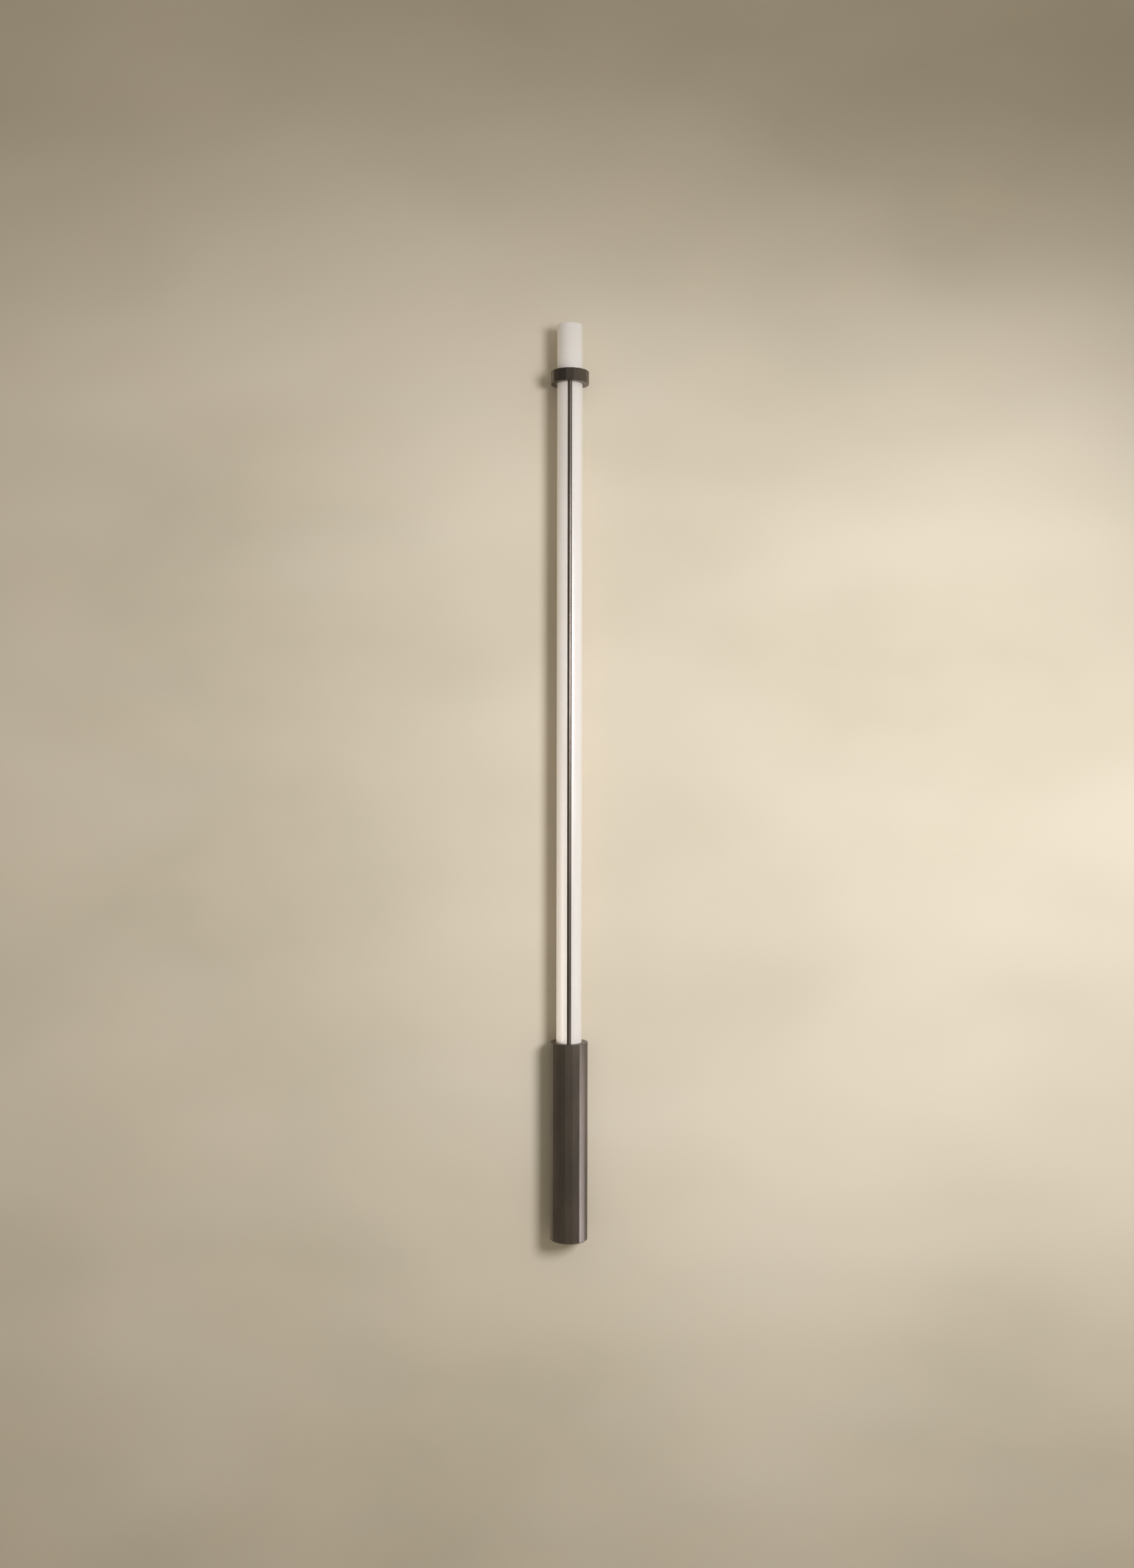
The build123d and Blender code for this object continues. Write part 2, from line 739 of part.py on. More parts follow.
with BuildPart() as driver_case:
    block(driver_width, driver_back - driver_lid_joint, driver_bottom, driver_top, case_middle)
    cavity_middle = (0, (driver_lid_joint + cavity_back) / 2)
    cavity_depth = cavity_back - driver_lid_joint
    block(cavity_width, cavity_depth, cavity_bottom, cavity_top, cavity_middle, Mode.SUBTRACT)
    # Rails that keep the board off the floor of the case.
    for side in (-1, 1):
        rail = (side * (cavity_width - driver_wall) / 2, cavity_back - driver_rail / 2)
        block(driver_wall, driver_rail, cavity_bottom, cavity_top, rail)
    lug_middle = (0, driver_back - driver_lug_thickness / 2)
    for height in driver_lug_heights:
        low = height - driver_lug_length / 2
        high = height + driver_lug_length / 2
        block(driver_lug_width, driver_lug_thickness, low, high, lug_middle)
    with BuildSketch(front_plane(driver_back - driver_lug_thickness)):
        with Locations(*[(0, height) for height in driver_lug_heights]):
            Circle(m3.thread + hole_play)
    extrude(amount=-driver_lug_thickness, mode=Mode.SUBTRACT)
    # Holes in the end walls for the leads.
    for place in supply_holes:
        disc(lead_radius + head_play, driver_bottom, cavity_bottom, place, Mode.SUBTRACT)
    for place in output_holes:
        disc(lead_radius + head_play, cavity_top, driver_top, place, Mode.SUBTRACT)
save(driver_case, "driver_case")

with BuildPart() as driver_lid:
    lid_middle = (0, (driver_front + driver_lid_joint) / 2)
    block(driver_width, driver_wall, driver_bottom, driver_top, lid_middle)
    lip_middle = (0, driver_lid_joint + lid_lip / 2)
    lip_width = cavity_width - 2 * hole_play
    lip_bottom = cavity_bottom + hole_play
    block(lip_width, lid_lip, lip_bottom, cavity_top - hole_play, lip_middle)
save(driver_lid, "driver_lid")

driver_screw = pan_screw(m3, driver_lug_thickness + tray_thickness)
with BuildPart() as driver_screws:
    for height in driver_lug_heights:
        with Locations(front_plane(driver_back - driver_lug_thickness, height=height)):
            add(driver_screw)
save(driver_screws, "driver_screws")

with BuildPart() as driver_board:
    board_width = cavity_width - 2 * hole_play
    board_bottom = cavity_bottom + hole_play
    block(board_width, board_thickness, board_bottom, cavity_top - hole_play, board_middle)
save(driver_board, "driver_board")

connector_face_low = cavity_bottom + connector_gap
connector_face_high = cavity_top - connector_gap
component_middle = (0, board_face - component_height / 2)
with BuildPart() as board_connectors:
    for low in (connector_face_low, connector_face_high - connector_length):
        high = low + connector_length
        block(connector_width, component_height, low, high, component_middle)
save(board_connectors, "board_connectors")

driver_middle = (driver_top + driver_bottom) / 2
capacitor_height = connector_face_high - connector_length - capacitor_gap - capacitor_radius
inductor_height = connector_face_low + connector_length + inductor_gap + inductor_radius
with BuildPart() as driver_transformer:
    middle = driver_middle + transformer_rise
    low = middle - transformer_size[1] / 2
    high = middle + transformer_size[1] / 2
    block(transformer_size[0], component_height, low, high, component_middle)
    # The winding is drawn in between the bobbin's end flanges.
    for side in (-1, 1):
        waist = (side * transformer_size[0] / 2, component_middle[1])
        block(
            transformer_waist,
            component_height,
            low + transformer_flange,
            high - transformer_flange,
            waist,
            Mode.SUBTRACT,
        )
save(driver_transformer, "driver_transformer")

with BuildPart() as driver_capacitors:
    with BuildSketch(front_plane(board_face)):
        with Locations((0, capacitor_height)):
            with GridLocations(capacitor_spacing, 0, 2, 1):
                Circle(capacitor_radius)
    extrude(amount=component_height)
save(driver_capacitors, "driver_capacitors")

with BuildPart() as driver_inductor:
    with BuildSketch(front_plane(board_face)):
        with Locations((0, inductor_height)):
            Circle(inductor_radius)
            Circle(inductor_bore, mode=Mode.SUBTRACT)
    extrude(amount=component_height - lid_lip)
save(driver_inductor, "driver_inductor")

# ---------------------------------------------------------------- terminal block and earth
poles = [(pole * pole_pitch, -pocket_ahead) for pole in (-1, 0, 1)]
with BuildPart() as terminal_block:
    terminal_back = tray_behind_axis
    middle = (0, terminal_back - terminal_depth / 2)
    block(terminal_width, terminal_depth, terminal_bottom, terminal_top, middle)
    for pole in poles:
        block(pocket_width, pocket_depth, terminal_bottom, terminal_top, pole, Mode.SUBTRACT)
    with Locations(rear_plane(terminal_back, height=terminal_middle)):
        Hole(m3.thread + thread_play, terminal_screw_bite + hole_play)
save(terminal_block, "terminal_block")

with BuildPart() as terminal_bars:
    bar_behind_axis = -pocket_ahead + pocket_depth / 2 - bar_thickness / 2
    for pole in poles:
        bar_place = (pole[0], bar_behind_axis)
        bar_low = terminal_bottom + bar_end_gap
        bar_high = terminal_top - bar_end_gap
        block(pocket_width - 2 * strip_play, bar_thickness, bar_low, bar_high, bar_place)
save(terminal_bars, "terminal_bars")

block_screw = pan_screw(m3, tray_thickness + terminal_screw_bite)
with BuildPart() as terminal_screw:
    with Locations(rear_plane(tray_back, height=terminal_middle)):
        add(block_screw)
save(terminal_screw, "terminal_screw")

barrel_top = earth_height - earth_barrel_drop
barrel_bottom = barrel_top - earth_barrel_length
barrel_behind_axis = tray_behind_axis - earth_tag_thickness - earth_barrel_radius / 2
barrel_place = (earth_screw_side, barrel_behind_axis)
with BuildPart() as earth_tag:
    with BuildSketch(front_plane(tray_behind_axis, earth_screw_side, earth_height)):
        Circle(earth_tag_radius)
        Rectangle(
            2 * earth_barrel_radius,
            earth_barrel_drop + earth_barrel_length,
            align=(Align.CENTER, Align.MAX),
        )
        Circle(m4.thread + hole_play, mode=Mode.SUBTRACT)
    extrude(amount=earth_tag_thickness)
    disc(earth_barrel_radius, barrel_bottom, barrel_top, barrel_place)
    disc(lead_radius + thread_play, barrel_bottom, barrel_top, barrel_place, Mode.SUBTRACT)
save(earth_tag, "earth_tag")

ground_screw = pan_screw(m4, earth_tag_thickness + tray_thickness)
tag_front = tray_behind_axis - earth_tag_thickness
with BuildPart() as earth_screw:
    with Locations(front_plane(tag_front, earth_screw_side, earth_height)):
        add(ground_screw)
save(earth_screw, "earth_screw")

# ---------------------------------------------------------------- leads
bar_front = -pocket_ahead + pocket_depth / 2 - bar_thickness
pole_lead_y = bar_front - lead_radius - slide_play
tail_start = terminal_top - lead_tail


def supply_lead(pole, side):
    """A lead from one pole of the terminal block up into the foot of the driver."""
    return lead(
        [
            (pole * pole_pitch, pole_lead_y, tail_start),
            (pole * pole_pitch, pole_lead_y, terminal_top + lead_straight),
            (side * supply_side, -output_ahead, driver_bottom - lead_straight),
            (side * supply_side, -output_ahead, connector_face_low),
        ]
    )


live_wire = supply_lead(-1, -1)
with BuildPart() as live_lead:
    add(live_wire)
save(live_lead, "live_lead")

neutral_wire = supply_lead(0, 1)
with BuildPart() as neutral_lead:
    add(neutral_wire)
save(neutral_lead, "neutral_lead")

earth_wire = lead(
    [
        (pole_pitch, pole_lead_y, tail_start),
        (pole_pitch, pole_lead_y, terminal_top + lead_bend),
        (earth_screw_side, barrel_behind_axis, barrel_bottom - lead_bend),
        (earth_screw_side, barrel_behind_axis, barrel_top - lead_radius),
    ]
)
with BuildPart() as earth_lead:
    add(earth_wire)
save(earth_lead, "earth_lead")


def core_lead(side, face, driver_place):
    """A lead from the head of the driver up beside the light core to one strip's pad."""
    pad_height = core_foot + pad_rise
    return lead(
        [
            (side * driver_place[0], -driver_place[1], connector_face_high),
            (side * driver_place[0], -driver_place[1], driver_top + lead_tail),
            (side * floor_hole[0], face * floor_hole[1], seat_bottom - lead_tail),
            (side * floor_hole[0], face * floor_hole[1], core_foot + core_lead_rise),
            (side * floor_hole[0], face * core_lead_ahead, pad_height - lead_tail),
            (side * pad_side, face * core_lead_ahead, pad_height),
            (side * pad_side, face * strip_face, pad_height),
        ]
    )


for side, name in ((-1, "positive_leads"), (1, "negative_leads")):
    front_wire = core_lead(side, -1, output_front)
    rear_wire = core_lead(side, 1, output_rear)
    with BuildPart() as strip_leads:
        add(front_wire)
        add(rear_wire)
    save(strip_leads, name)
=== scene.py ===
import bmesh
import bpy
import json
import math
from mathutils import Matrix, Vector


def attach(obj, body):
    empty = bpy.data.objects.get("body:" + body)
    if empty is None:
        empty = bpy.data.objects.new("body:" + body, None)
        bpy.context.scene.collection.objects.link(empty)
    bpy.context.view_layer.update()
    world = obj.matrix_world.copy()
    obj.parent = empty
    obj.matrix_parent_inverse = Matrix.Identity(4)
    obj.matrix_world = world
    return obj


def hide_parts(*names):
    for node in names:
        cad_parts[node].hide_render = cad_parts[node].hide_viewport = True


# A tube wall light hung on a plastered wall. Metres, +Z up, the wall at Y = 0, the light
# towards -Y, and the origin at the middle of the wall bracket's back face.

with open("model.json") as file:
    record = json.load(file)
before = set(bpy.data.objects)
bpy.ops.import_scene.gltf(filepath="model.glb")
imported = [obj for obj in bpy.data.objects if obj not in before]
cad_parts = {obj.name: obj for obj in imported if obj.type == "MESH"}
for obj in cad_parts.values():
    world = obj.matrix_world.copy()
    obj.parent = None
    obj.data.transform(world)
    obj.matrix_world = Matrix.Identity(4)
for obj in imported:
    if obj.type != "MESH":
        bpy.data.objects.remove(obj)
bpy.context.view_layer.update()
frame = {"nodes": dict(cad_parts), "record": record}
nodes = frame["nodes"]

MM = 0.001
AXIS = Vector((0, -0.029, 0))

# Sizes of the pieces that are made here, in millimetres, as the CAD model has them
facet_count = 16
facet_corner = 0.9
edge_break = 0.4
handle_bottom, handle_top = -136.5, 136.5
handle_across = 51.4
handle_bore = 22.5
handle_top_wall = 12.0
handle_foot_chamfer = 1.5
glass_radius = 17.5
glass_wall = 2.0
glass_foot, glass_top = 100.0, 1120.5
glass_lid = 3.0
glass_hole = 17.8
collar_bottom, collar_top = 1039.5, 1056.5
collar_across = 52.0
collar_bore = 18.7
rod_radius = 3.0
rod_ahead = 22.2
screw_thread = 2.0
nut_height = 5.0
fit_play = 0.3
hole_play = 0.2
# A cutter runs this far past the faces that it opens.
past = 1.0
# How many sides stand in for a circle, on broad pieces and on small ones
broad_sides, small_sides = 96, 48
# Two faces meet in a sharp edge above this angle, in degrees: on a round piece, and on a
# faceted one, whose flats turn by only 22.5 from one to the next.
round_crease, facet_crease = 30, 5


# ---------------------------------------------------------------- small tools
def linear(code):
    """The linear colour of an sRGB hex code."""
    parts = [int(code[i : i + 2], 16) / 255 for i in (1, 3, 5)]
    curve = [p / 12.92 if p <= 0.04045 else ((p + 0.055) / 1.055) ** 2.4 for p in parts]
    return (*curve, 1.0)


def put(tree, kind, sockets=None, **settings):
    """Adds one node to a tree, sets its properties, and fills its sockets or links them. A node
    given for a socket stands for its first output."""
    made = tree.nodes.new(kind)
    for name, value in settings.items():
        setattr(made, name, value)
    for name, value in (sockets or {}).items():
        if isinstance(value, bpy.types.Node):
            value = value.outputs[0]
        if isinstance(value, bpy.types.NodeSocket):
            tree.links.new(value, made.inputs[name])
        else:
            made.inputs[name].default_value = value
    return made


def per_mm(*sizes):
    """The scale that gives a pattern these sizes in millimetres along X, Y and Z."""
    return [1000.0 / size for size in sizes]


def blank_material(name):
    """A new material with only its shader and output, and the object's own coordinates."""
    material = bpy.data.materials.new(name)
    material.use_nodes = True
    tree = material.node_tree
    tree.nodes.clear()
    shader = put(tree, "ShaderNodeBsdfPrincipled")
    put(tree, "ShaderNodeOutputMaterial", {"Surface": shader.outputs["BSDF"]})
    place = put(tree, "ShaderNodeTexCoord").outputs["Object"]
    return material, tree, shader, place


def grain(tree, place, sizes, detail=3.0, roughness=0.5, shift=(0.0, 0.0, 0.0)):
    """A noise pattern whose cells measure these millimetres, shifted by this many cells."""
    scaled = put(
        tree,
        "ShaderNodeMapping",
        {"Vector": place, "Location": shift, "Scale": per_mm(*sizes)},
    )
    return put(
        tree,
        "ShaderNodeTexNoise",
        {
            "Vector": scaled.outputs["Vector"],
            "Scale": 1.0,
            "Detail": detail,
            "Roughness": roughness,
        },
    ).outputs["Fac"]


# Nearly all of a noise pattern lies between these two.
noise_low, noise_high = 0.3, 0.7


def patched(tree, pattern, under, over, most=1.0, start=noise_low, end=noise_high):
    """A colour with patches of another over it: none where the pattern is at its start, and
    the most at its end."""
    share = put(
        tree,
        "ShaderNodeMapRange",
        {"Value": pattern, "From Min": start, "From Max": end, "To Min": 0.0, "To Max": most},
    )
    # The node's number sockets bear the same names, so its colour sockets go by their places.
    mixed = put(tree, "ShaderNodeMix", {0: share, 6: under, 7: over}, data_type="RGBA")
    return mixed.outputs[2]


def worked(tree, shader, pattern, rough, depth_mm):
    """What the making leaves on a surface: an uneven gloss and a low relief, in one pattern."""
    gloss = put(
        tree,
        "ShaderNodeMapRange",
        {
            "Value": pattern,
            "From Min": noise_low,
            "From Max": noise_high,
            "To Min": rough[0],
            "To Max": rough[1],
        },
    )
    tree.links.new(gloss.outputs["Result"], shader.inputs["Roughness"])
    relief = put(
        tree, "ShaderNodeBump", {"Height": pattern, "Distance": depth_mm * MM, "Strength": 1.0}
    )
    tree.links.new(relief.outputs["Normal"], shader.inputs["Normal"])


def surface(name, colours, cloud_mm, rough, grain_mm, depth_mm, **shader_values):
    """A finish with two colours in soft clouds, an uneven gloss and a fine grain."""
    material, tree, shader, place = blank_material(name)
    clouds = grain(tree, place, cloud_mm)
    fine = grain(tree, place, grain_mm, detail=4.0, roughness=0.6)
    colour = patched(tree, clouds, linear(colours[0]), linear(colours[1]))
    tree.links.new(colour, shader.inputs["Base Color"])
    worked(tree, shader, fine, rough, depth_mm)
    for socket, value in shader_values.items():
        shader.inputs[socket.replace("_", " ")].default_value = value
    return material


# ---------------------------------------------------------------- materials
def dark_bronze():
    """Bronze-plated brass, brushed along its length and blackened: warm near-black with a
    soft, slightly streaky sheen."""
    material, tree, shader, place = blank_material("blackened_bronze")
    # Real brush marks are about 0.1 mm wide and real specks about 0.3 mm. Both are drawn
    # coarser, as they need to be to show.
    brushing = grain(tree, place, (0.5, 0.5, 60.0), detail=4.0, roughness=0.65)
    specks = grain(tree, place, (1.2, 1.2, 1.6), detail=2.0)
    patina = grain(tree, place, (30.0, 30.0, 90.0), detail=4.0)
    base = patched(tree, patina, linear("#5f5852"), linear("#6f675f"))
    colour = patched(tree, specks, base, linear("#81776c"), most=0.35, start=0.55, end=0.8)
    tree.links.new(colour, shader.inputs["Base Color"])
    shader.inputs["Metallic"].default_value = 0.9
    worked(tree, shader, brushing, rough=(0.26, 0.36), depth_mm=0.012)
    return material


def opal_glass():
    """Opal glass, acid-etched to satin: milky white with a soft sheen and a little depth."""
    material, tree, shader, place = blank_material("satin_opal_glass")
    clouds = grain(tree, place, (25.0, 25.0, 140.0), detail=2.0)
    # An etched grain is about 0.05 mm across. It is drawn coarser, as it needs to be to show.
    etching = grain(tree, place, (0.35, 0.35, 0.35), detail=2.0)
    milk = patched(tree, clouds, linear("#e5ded8"), linear("#eae4df"))
    tree.links.new(milk, shader.inputs["Base Color"])
    shader.inputs["IOR"].default_value = 1.5
    shader.inputs["Subsurface Weight"].default_value = 0.3
    shader.inputs["Subsurface Radius"].default_value = (1.0, 0.9, 0.8)
    shader.inputs["Subsurface Scale"].default_value = 3.0 * MM
    worked(tree, shader, etching, rough=(0.30, 0.36), depth_mm=0.002)
    return material


def wall_plaster():
    """Matt paint over trowelled plaster: greige with faint clouds and a very low relief.
    Its back isn't drawn, so that the light can be seen from behind."""
    material, tree, shader, place = blank_material("painted_plaster")
    trowelled = grain(tree, place, (760.0, 760.0, 380.0), detail=2.0, shift=(0.9, 0.0, 5.6))
    patches = grain(tree, place, (230.0, 230.0, 150.0), detail=4.0)
    coat = grain(tree, place, (7.0, 7.0, 7.0), detail=5.0)
    coat_depth_mm = 0.12
    base = patched(tree, trowelled, linear("#d4c9b4"), linear("#e4d9c6"), start=0.36, end=0.64)
    colour = patched(tree, patches, base, linear("#e3d5c0"), most=0.4, start=0.4, end=0.7)
    tree.links.new(colour, shader.inputs["Base Color"])
    shader.inputs["Roughness"].default_value = 0.85
    shader.inputs["Specular IOR Level"].default_value = 0.25
    relief = put(
        tree, "ShaderNodeBump", {"Height": coat, "Distance": coat_depth_mm * MM, "Strength": 0.5}
    )
    tree.links.new(relief.outputs["Normal"], shader.inputs["Normal"])
    clear = put(tree, "ShaderNodeBsdfTransparent")
    behind = put(tree, "ShaderNodeNewGeometry").outputs["Backfacing"]
    front, back = shader.outputs["BSDF"], clear.outputs["BSDF"]
    either = put(tree, "ShaderNodeMixShader", {0: behind, 1: front, 2: back})
    output = next(node for node in tree.nodes if node.bl_idname == "ShaderNodeOutputMaterial")
    tree.links.new(either.outputs["Shader"], output.inputs["Surface"])
    return material


def striped_insulation():
    """Soft PVC in green with a yellow stripe."""
    material, tree, shader, place = blank_material("green_yellow_pvc")
    scaled = put(tree, "ShaderNodeMapping", {"Vector": place, "Scale": per_mm(3.0, 3.0, 3.0)})
    waved = {"Vector": scaled.outputs["Vector"], "Scale": 1.0}
    stripes = put(tree, "ShaderNodeTexWave", waved, bands_direction="X").outputs["Fac"]
    colour = patched(tree, stripes, linear("#1f7a35"), linear("#d8c92a"), start=0.45, end=0.55)
    tree.links.new(colour, shader.inputs["Base Color"])
    fine = grain(tree, place, (0.3, 0.3, 0.3))
    worked(tree, shader, fine, rough=(0.38, 0.5), depth_mm=0.004)
    return material


def insulation(name, code, lighter):
    """Soft PVC wire insulation: even colour with a dull gloss."""
    return surface(
        name,
        (code, lighter),
        cloud_mm=(4, 4, 12),
        rough=(0.38, 0.5),
        grain_mm=(0.3, 0.3, 0.3),
        depth_mm=0.004,
    )


finishes = {
    "dark_bronze": dark_bronze(),
    "opal_glass": opal_glass(),
    # Anodised aluminium, extruded: fine lines along its length.
    "aluminium": surface(
        "anodised_aluminium",
        ("#c9cac9", "#d3d4d4"),
        cloud_mm=(20, 20, 60),
        rough=(0.28, 0.4),
        grain_mm=(0.25, 0.25, 40),
        depth_mm=0.006,
        Metallic=1.0,
    ),
    # Zinc plate, blue passivated: bright grey with small blotches of crystal.
    "zinc_steel": surface(
        "zinc_plated_steel",
        ("#a9adb0", "#bcbdba"),
        cloud_mm=(5, 5, 5),
        rough=(0.3, 0.45),
        grain_mm=(0.8, 0.8, 0.8),
        depth_mm=0.008,
        Metallic=1.0,
    ),
    # Silicone, moulded: milky and soft.
    "silicone": surface(
        "moulded_silicone",
        ("#dcdad4", "#e4e2dd"),
        cloud_mm=(6, 6, 6),
        rough=(0.45, 0.6),
        grain_mm=(0.4, 0.4, 0.4),
        depth_mm=0.004,
        IOR=1.41,
    ),
    # Rubber, moulded: matt black with a grey bloom.
    "black_rubber": surface(
        "moulded_rubber",
        ("#1b1b1b", "#262524"),
        cloud_mm=(3, 3, 3),
        rough=(0.6, 0.75),
        grain_mm=(0.3, 0.3, 0.3),
        depth_mm=0.008,
        IOR=1.52,
    ),
    # Polycarbonate, moulded and clear: takes on what is behind it.
    "clear_plastic": surface(
        "clear_polycarbonate",
        ("#e6ebee", "#eef1f2"),
        cloud_mm=(8, 8, 8),
        rough=(0.08, 0.16),
        grain_mm=(0.6, 0.6, 0.6),
        depth_mm=0.004,
        IOR=1.585,
        Transmission_Weight=0.85,
    ),
    # Solder mask over copper: satin white with a faint weave of the glass cloth under it.
    "white_board": surface(
        "white_solder_mask",
        ("#e9e7df", "#efede7"),
        cloud_mm=(9, 9, 30),
        rough=(0.3, 0.42),
        grain_mm=(0.5, 0.5, 0.5),
        depth_mm=0.004,
    ),
    # Polycarbonate, moulded with a fine spark texture: pale grey and matt.
    "driver_shell": surface(
        "textured_polycarbonate",
        ("#dedcd6", "#e4e3de"),
        cloud_mm=(14, 14, 30),
        rough=(0.5, 0.65),
        grain_mm=(0.5, 0.5, 0.5),
        depth_mm=0.02,
        IOR=1.585,
    ),
    # Solder mask on glass-epoxy board: deep green and glossy over faint tracks.
    "green_board": surface(
        "green_solder_mask",
        ("#0f4a2a", "#1c6a3b"),
        cloud_mm=(2.5, 2.5, 9),
        rough=(0.22, 0.34),
        grain_mm=(0.5, 0.5, 0.5),
        depth_mm=0.01,
    ),
    # Nylon, moulded: natural cream.
    "connector_plastic": surface(
        "moulded_nylon",
        ("#e3dcc6", "#eae4d2"),
        cloud_mm=(5, 5, 5),
        rough=(0.35, 0.5),
        grain_mm=(0.4, 0.4, 0.4),
        depth_mm=0.008,
        IOR=1.53,
    ),
    # Polyester tape, wound: amber yellow in flat turns.
    "winding_tape": surface(
        "wound_polyester_tape",
        ("#d9a72b", "#e3b844"),
        cloud_mm=(6, 6, 3),
        rough=(0.2, 0.34),
        grain_mm=(3, 3, 0.7),
        depth_mm=0.03,
    ),
    # PVC shrink sleeve over a can: black with a long gloss.
    "capacitor_sleeve": surface(
        "shrink_sleeve",
        ("#15161a", "#202228"),
        cloud_mm=(5, 5, 5),
        rough=(0.2, 0.32),
        grain_mm=(0.8, 0.8, 0.8),
        depth_mm=0.006,
    ),
    # Ferrite, sintered: dark grey and stony.
    "ferrite": surface(
        "sintered_ferrite",
        ("#2a2a2c", "#37373a"),
        cloud_mm=(1.5, 1.5, 1.5),
        rough=(0.5, 0.7),
        grain_mm=(0.4, 0.4, 0.4),
        depth_mm=0.03,
    ),
    # Polyamide, moulded: mid grey.
    "terminal_grey": surface(
        "moulded_polyamide",
        ("#8b8d90", "#96989a"),
        cloud_mm=(7, 7, 7),
        rough=(0.42, 0.56),
        grain_mm=(0.4, 0.4, 0.4),
        depth_mm=0.012,
        IOR=1.53,
    ),
    # Brass, turned and left bare: yellow with fine tool marks.
    "terminal_brass": surface(
        "turned_brass",
        ("#c9a45c", "#d8b878"),
        cloud_mm=(4, 4, 4),
        rough=(0.2, 0.34),
        grain_mm=(2, 2, 0.2),
        depth_mm=0.006,
        Metallic=1.0,
    ),
    # Copper, dipped in tin: bright and slightly dimpled.
    "tinned_copper": surface(
        "tinned_copper",
        ("#c4c3bd", "#d2d1cc"),
        cloud_mm=(3, 3, 3),
        rough=(0.18, 0.32),
        grain_mm=(0.6, 0.6, 0.6),
        depth_mm=0.012,
        Metallic=1.0,
    ),
    "brown_insulation": insulation("brown_pvc", "#4a2613", "#5a311b"),
    "blue_insulation": insulation("blue_pvc", "#163f96", "#2350a8"),
    "earth_insulation": striped_insulation(),
    "red_insulation": insulation("red_pvc", "#a31712", "#b5251d"),
    "black_insulation": insulation("black_pvc", "#151515", "#232323"),
    # Silicone loaded with phosphor, cast into each chip: flat butter yellow.
    "phosphor": surface(
        "cast_phosphor",
        ("#e8c53c", "#efd25a"),
        cloud_mm=(1, 1, 1),
        rough=(0.35, 0.5),
        grain_mm=(0.25, 0.25, 0.25),
        depth_mm=0.01,
        IOR=1.41,
    ),
    # Film resistor under black glaze.
    "resistor_glaze": surface(
        "resistor_glaze",
        ("#17181a", "#24262a"),
        cloud_mm=(1, 1, 1),
        rough=(0.2, 0.35),
        grain_mm=(0.3, 0.3, 0.3),
        depth_mm=0.006,
    ),
}


# ---------------------------------------------------------------- making pieces
def as_object(name, mesh, finish):
    """A piece at the origin with its mesh and its finish."""
    piece = bpy.data.objects.new(name, mesh)
    bpy.context.scene.collection.objects.link(piece)
    mesh.materials.clear()
    mesh.materials.append(finishes[finish])
    return piece


def declare(piece, body, slot, *replaced):
    """Rides a finished piece on its body, in place of its CAD nodes. The slot it is given is not
    used.
    """
    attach(piece, body)
    if replaced:
        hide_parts(*replaced)


def crease(work, angle):
    """Smooth faces, with a sharp edge wherever two faces meet at more than this angle."""
    for face in work.faces:
        face.smooth = True
    for edge in work.edges:
        edge.smooth = len(edge.link_faces) == 2 and edge.calc_face_angle(0) < math.radians(angle)


def kept_mesh(work, name):
    """The worked mesh as a mesh of its own."""
    mesh = bpy.data.meshes.new(name)
    work.to_mesh(mesh)
    work.free()
    return mesh


def turned(name, section, finish, centre=(0.0, 0.0), sides=broad_sides):
    """A round piece: a closed outline of (radius, height) in millimetres, spun on an upright
    line that stands this far from the lamp's axis."""
    work = bmesh.new()
    middle = AXIS + Vector((centre[0], centre[1], 0)) * MM
    rings = []
    for radius, height in section:
        if radius == 0:
            rings.append([work.verts.new(middle + Vector((0, 0, height * MM)))])
            continue
        ring = []
        for step in range(sides):
            turn = 2 * math.pi * step / sides
            out = Vector((math.cos(turn), math.sin(turn), 0)) * radius * MM
            ring.append(work.verts.new(middle + out + Vector((0, 0, height * MM))))
        rings.append(ring)
    closed = section[0][0] != 0 or section[-1][0] != 0
    pairs = list(zip(rings, rings[1:])) + ([(rings[-1], rings[0])] if closed else [])
    for low, high in pairs:
        for step in range(sides):
            after = (step + 1) % sides
            below = [low[step % len(low)], low[after % len(low)]]
            above = [high[after % len(high)], high[step % len(high)]]
            # A ring that has shrunk to a point gives its one corner twice.
            corners = list(dict.fromkeys(below + above))
            if len(corners) > 2:
                work.faces.new(corners)
    bmesh.ops.recalc_face_normals(work, faces=work.faces)
    crease(work, round_crease)
    return as_object(name, kept_mesh(work, name), finish)


# An edge of a CAD node counts as sharp above this angle, in degrees.
sharp_angle = 24
# Corners of the CAD mesh nearer than this are one corner, and faces flatter than this are
# one face.
weld_mm, flat_angle = 0.002, 0.5
# The same for a piece that is made or cut here
cut_weld_mm = 0.001


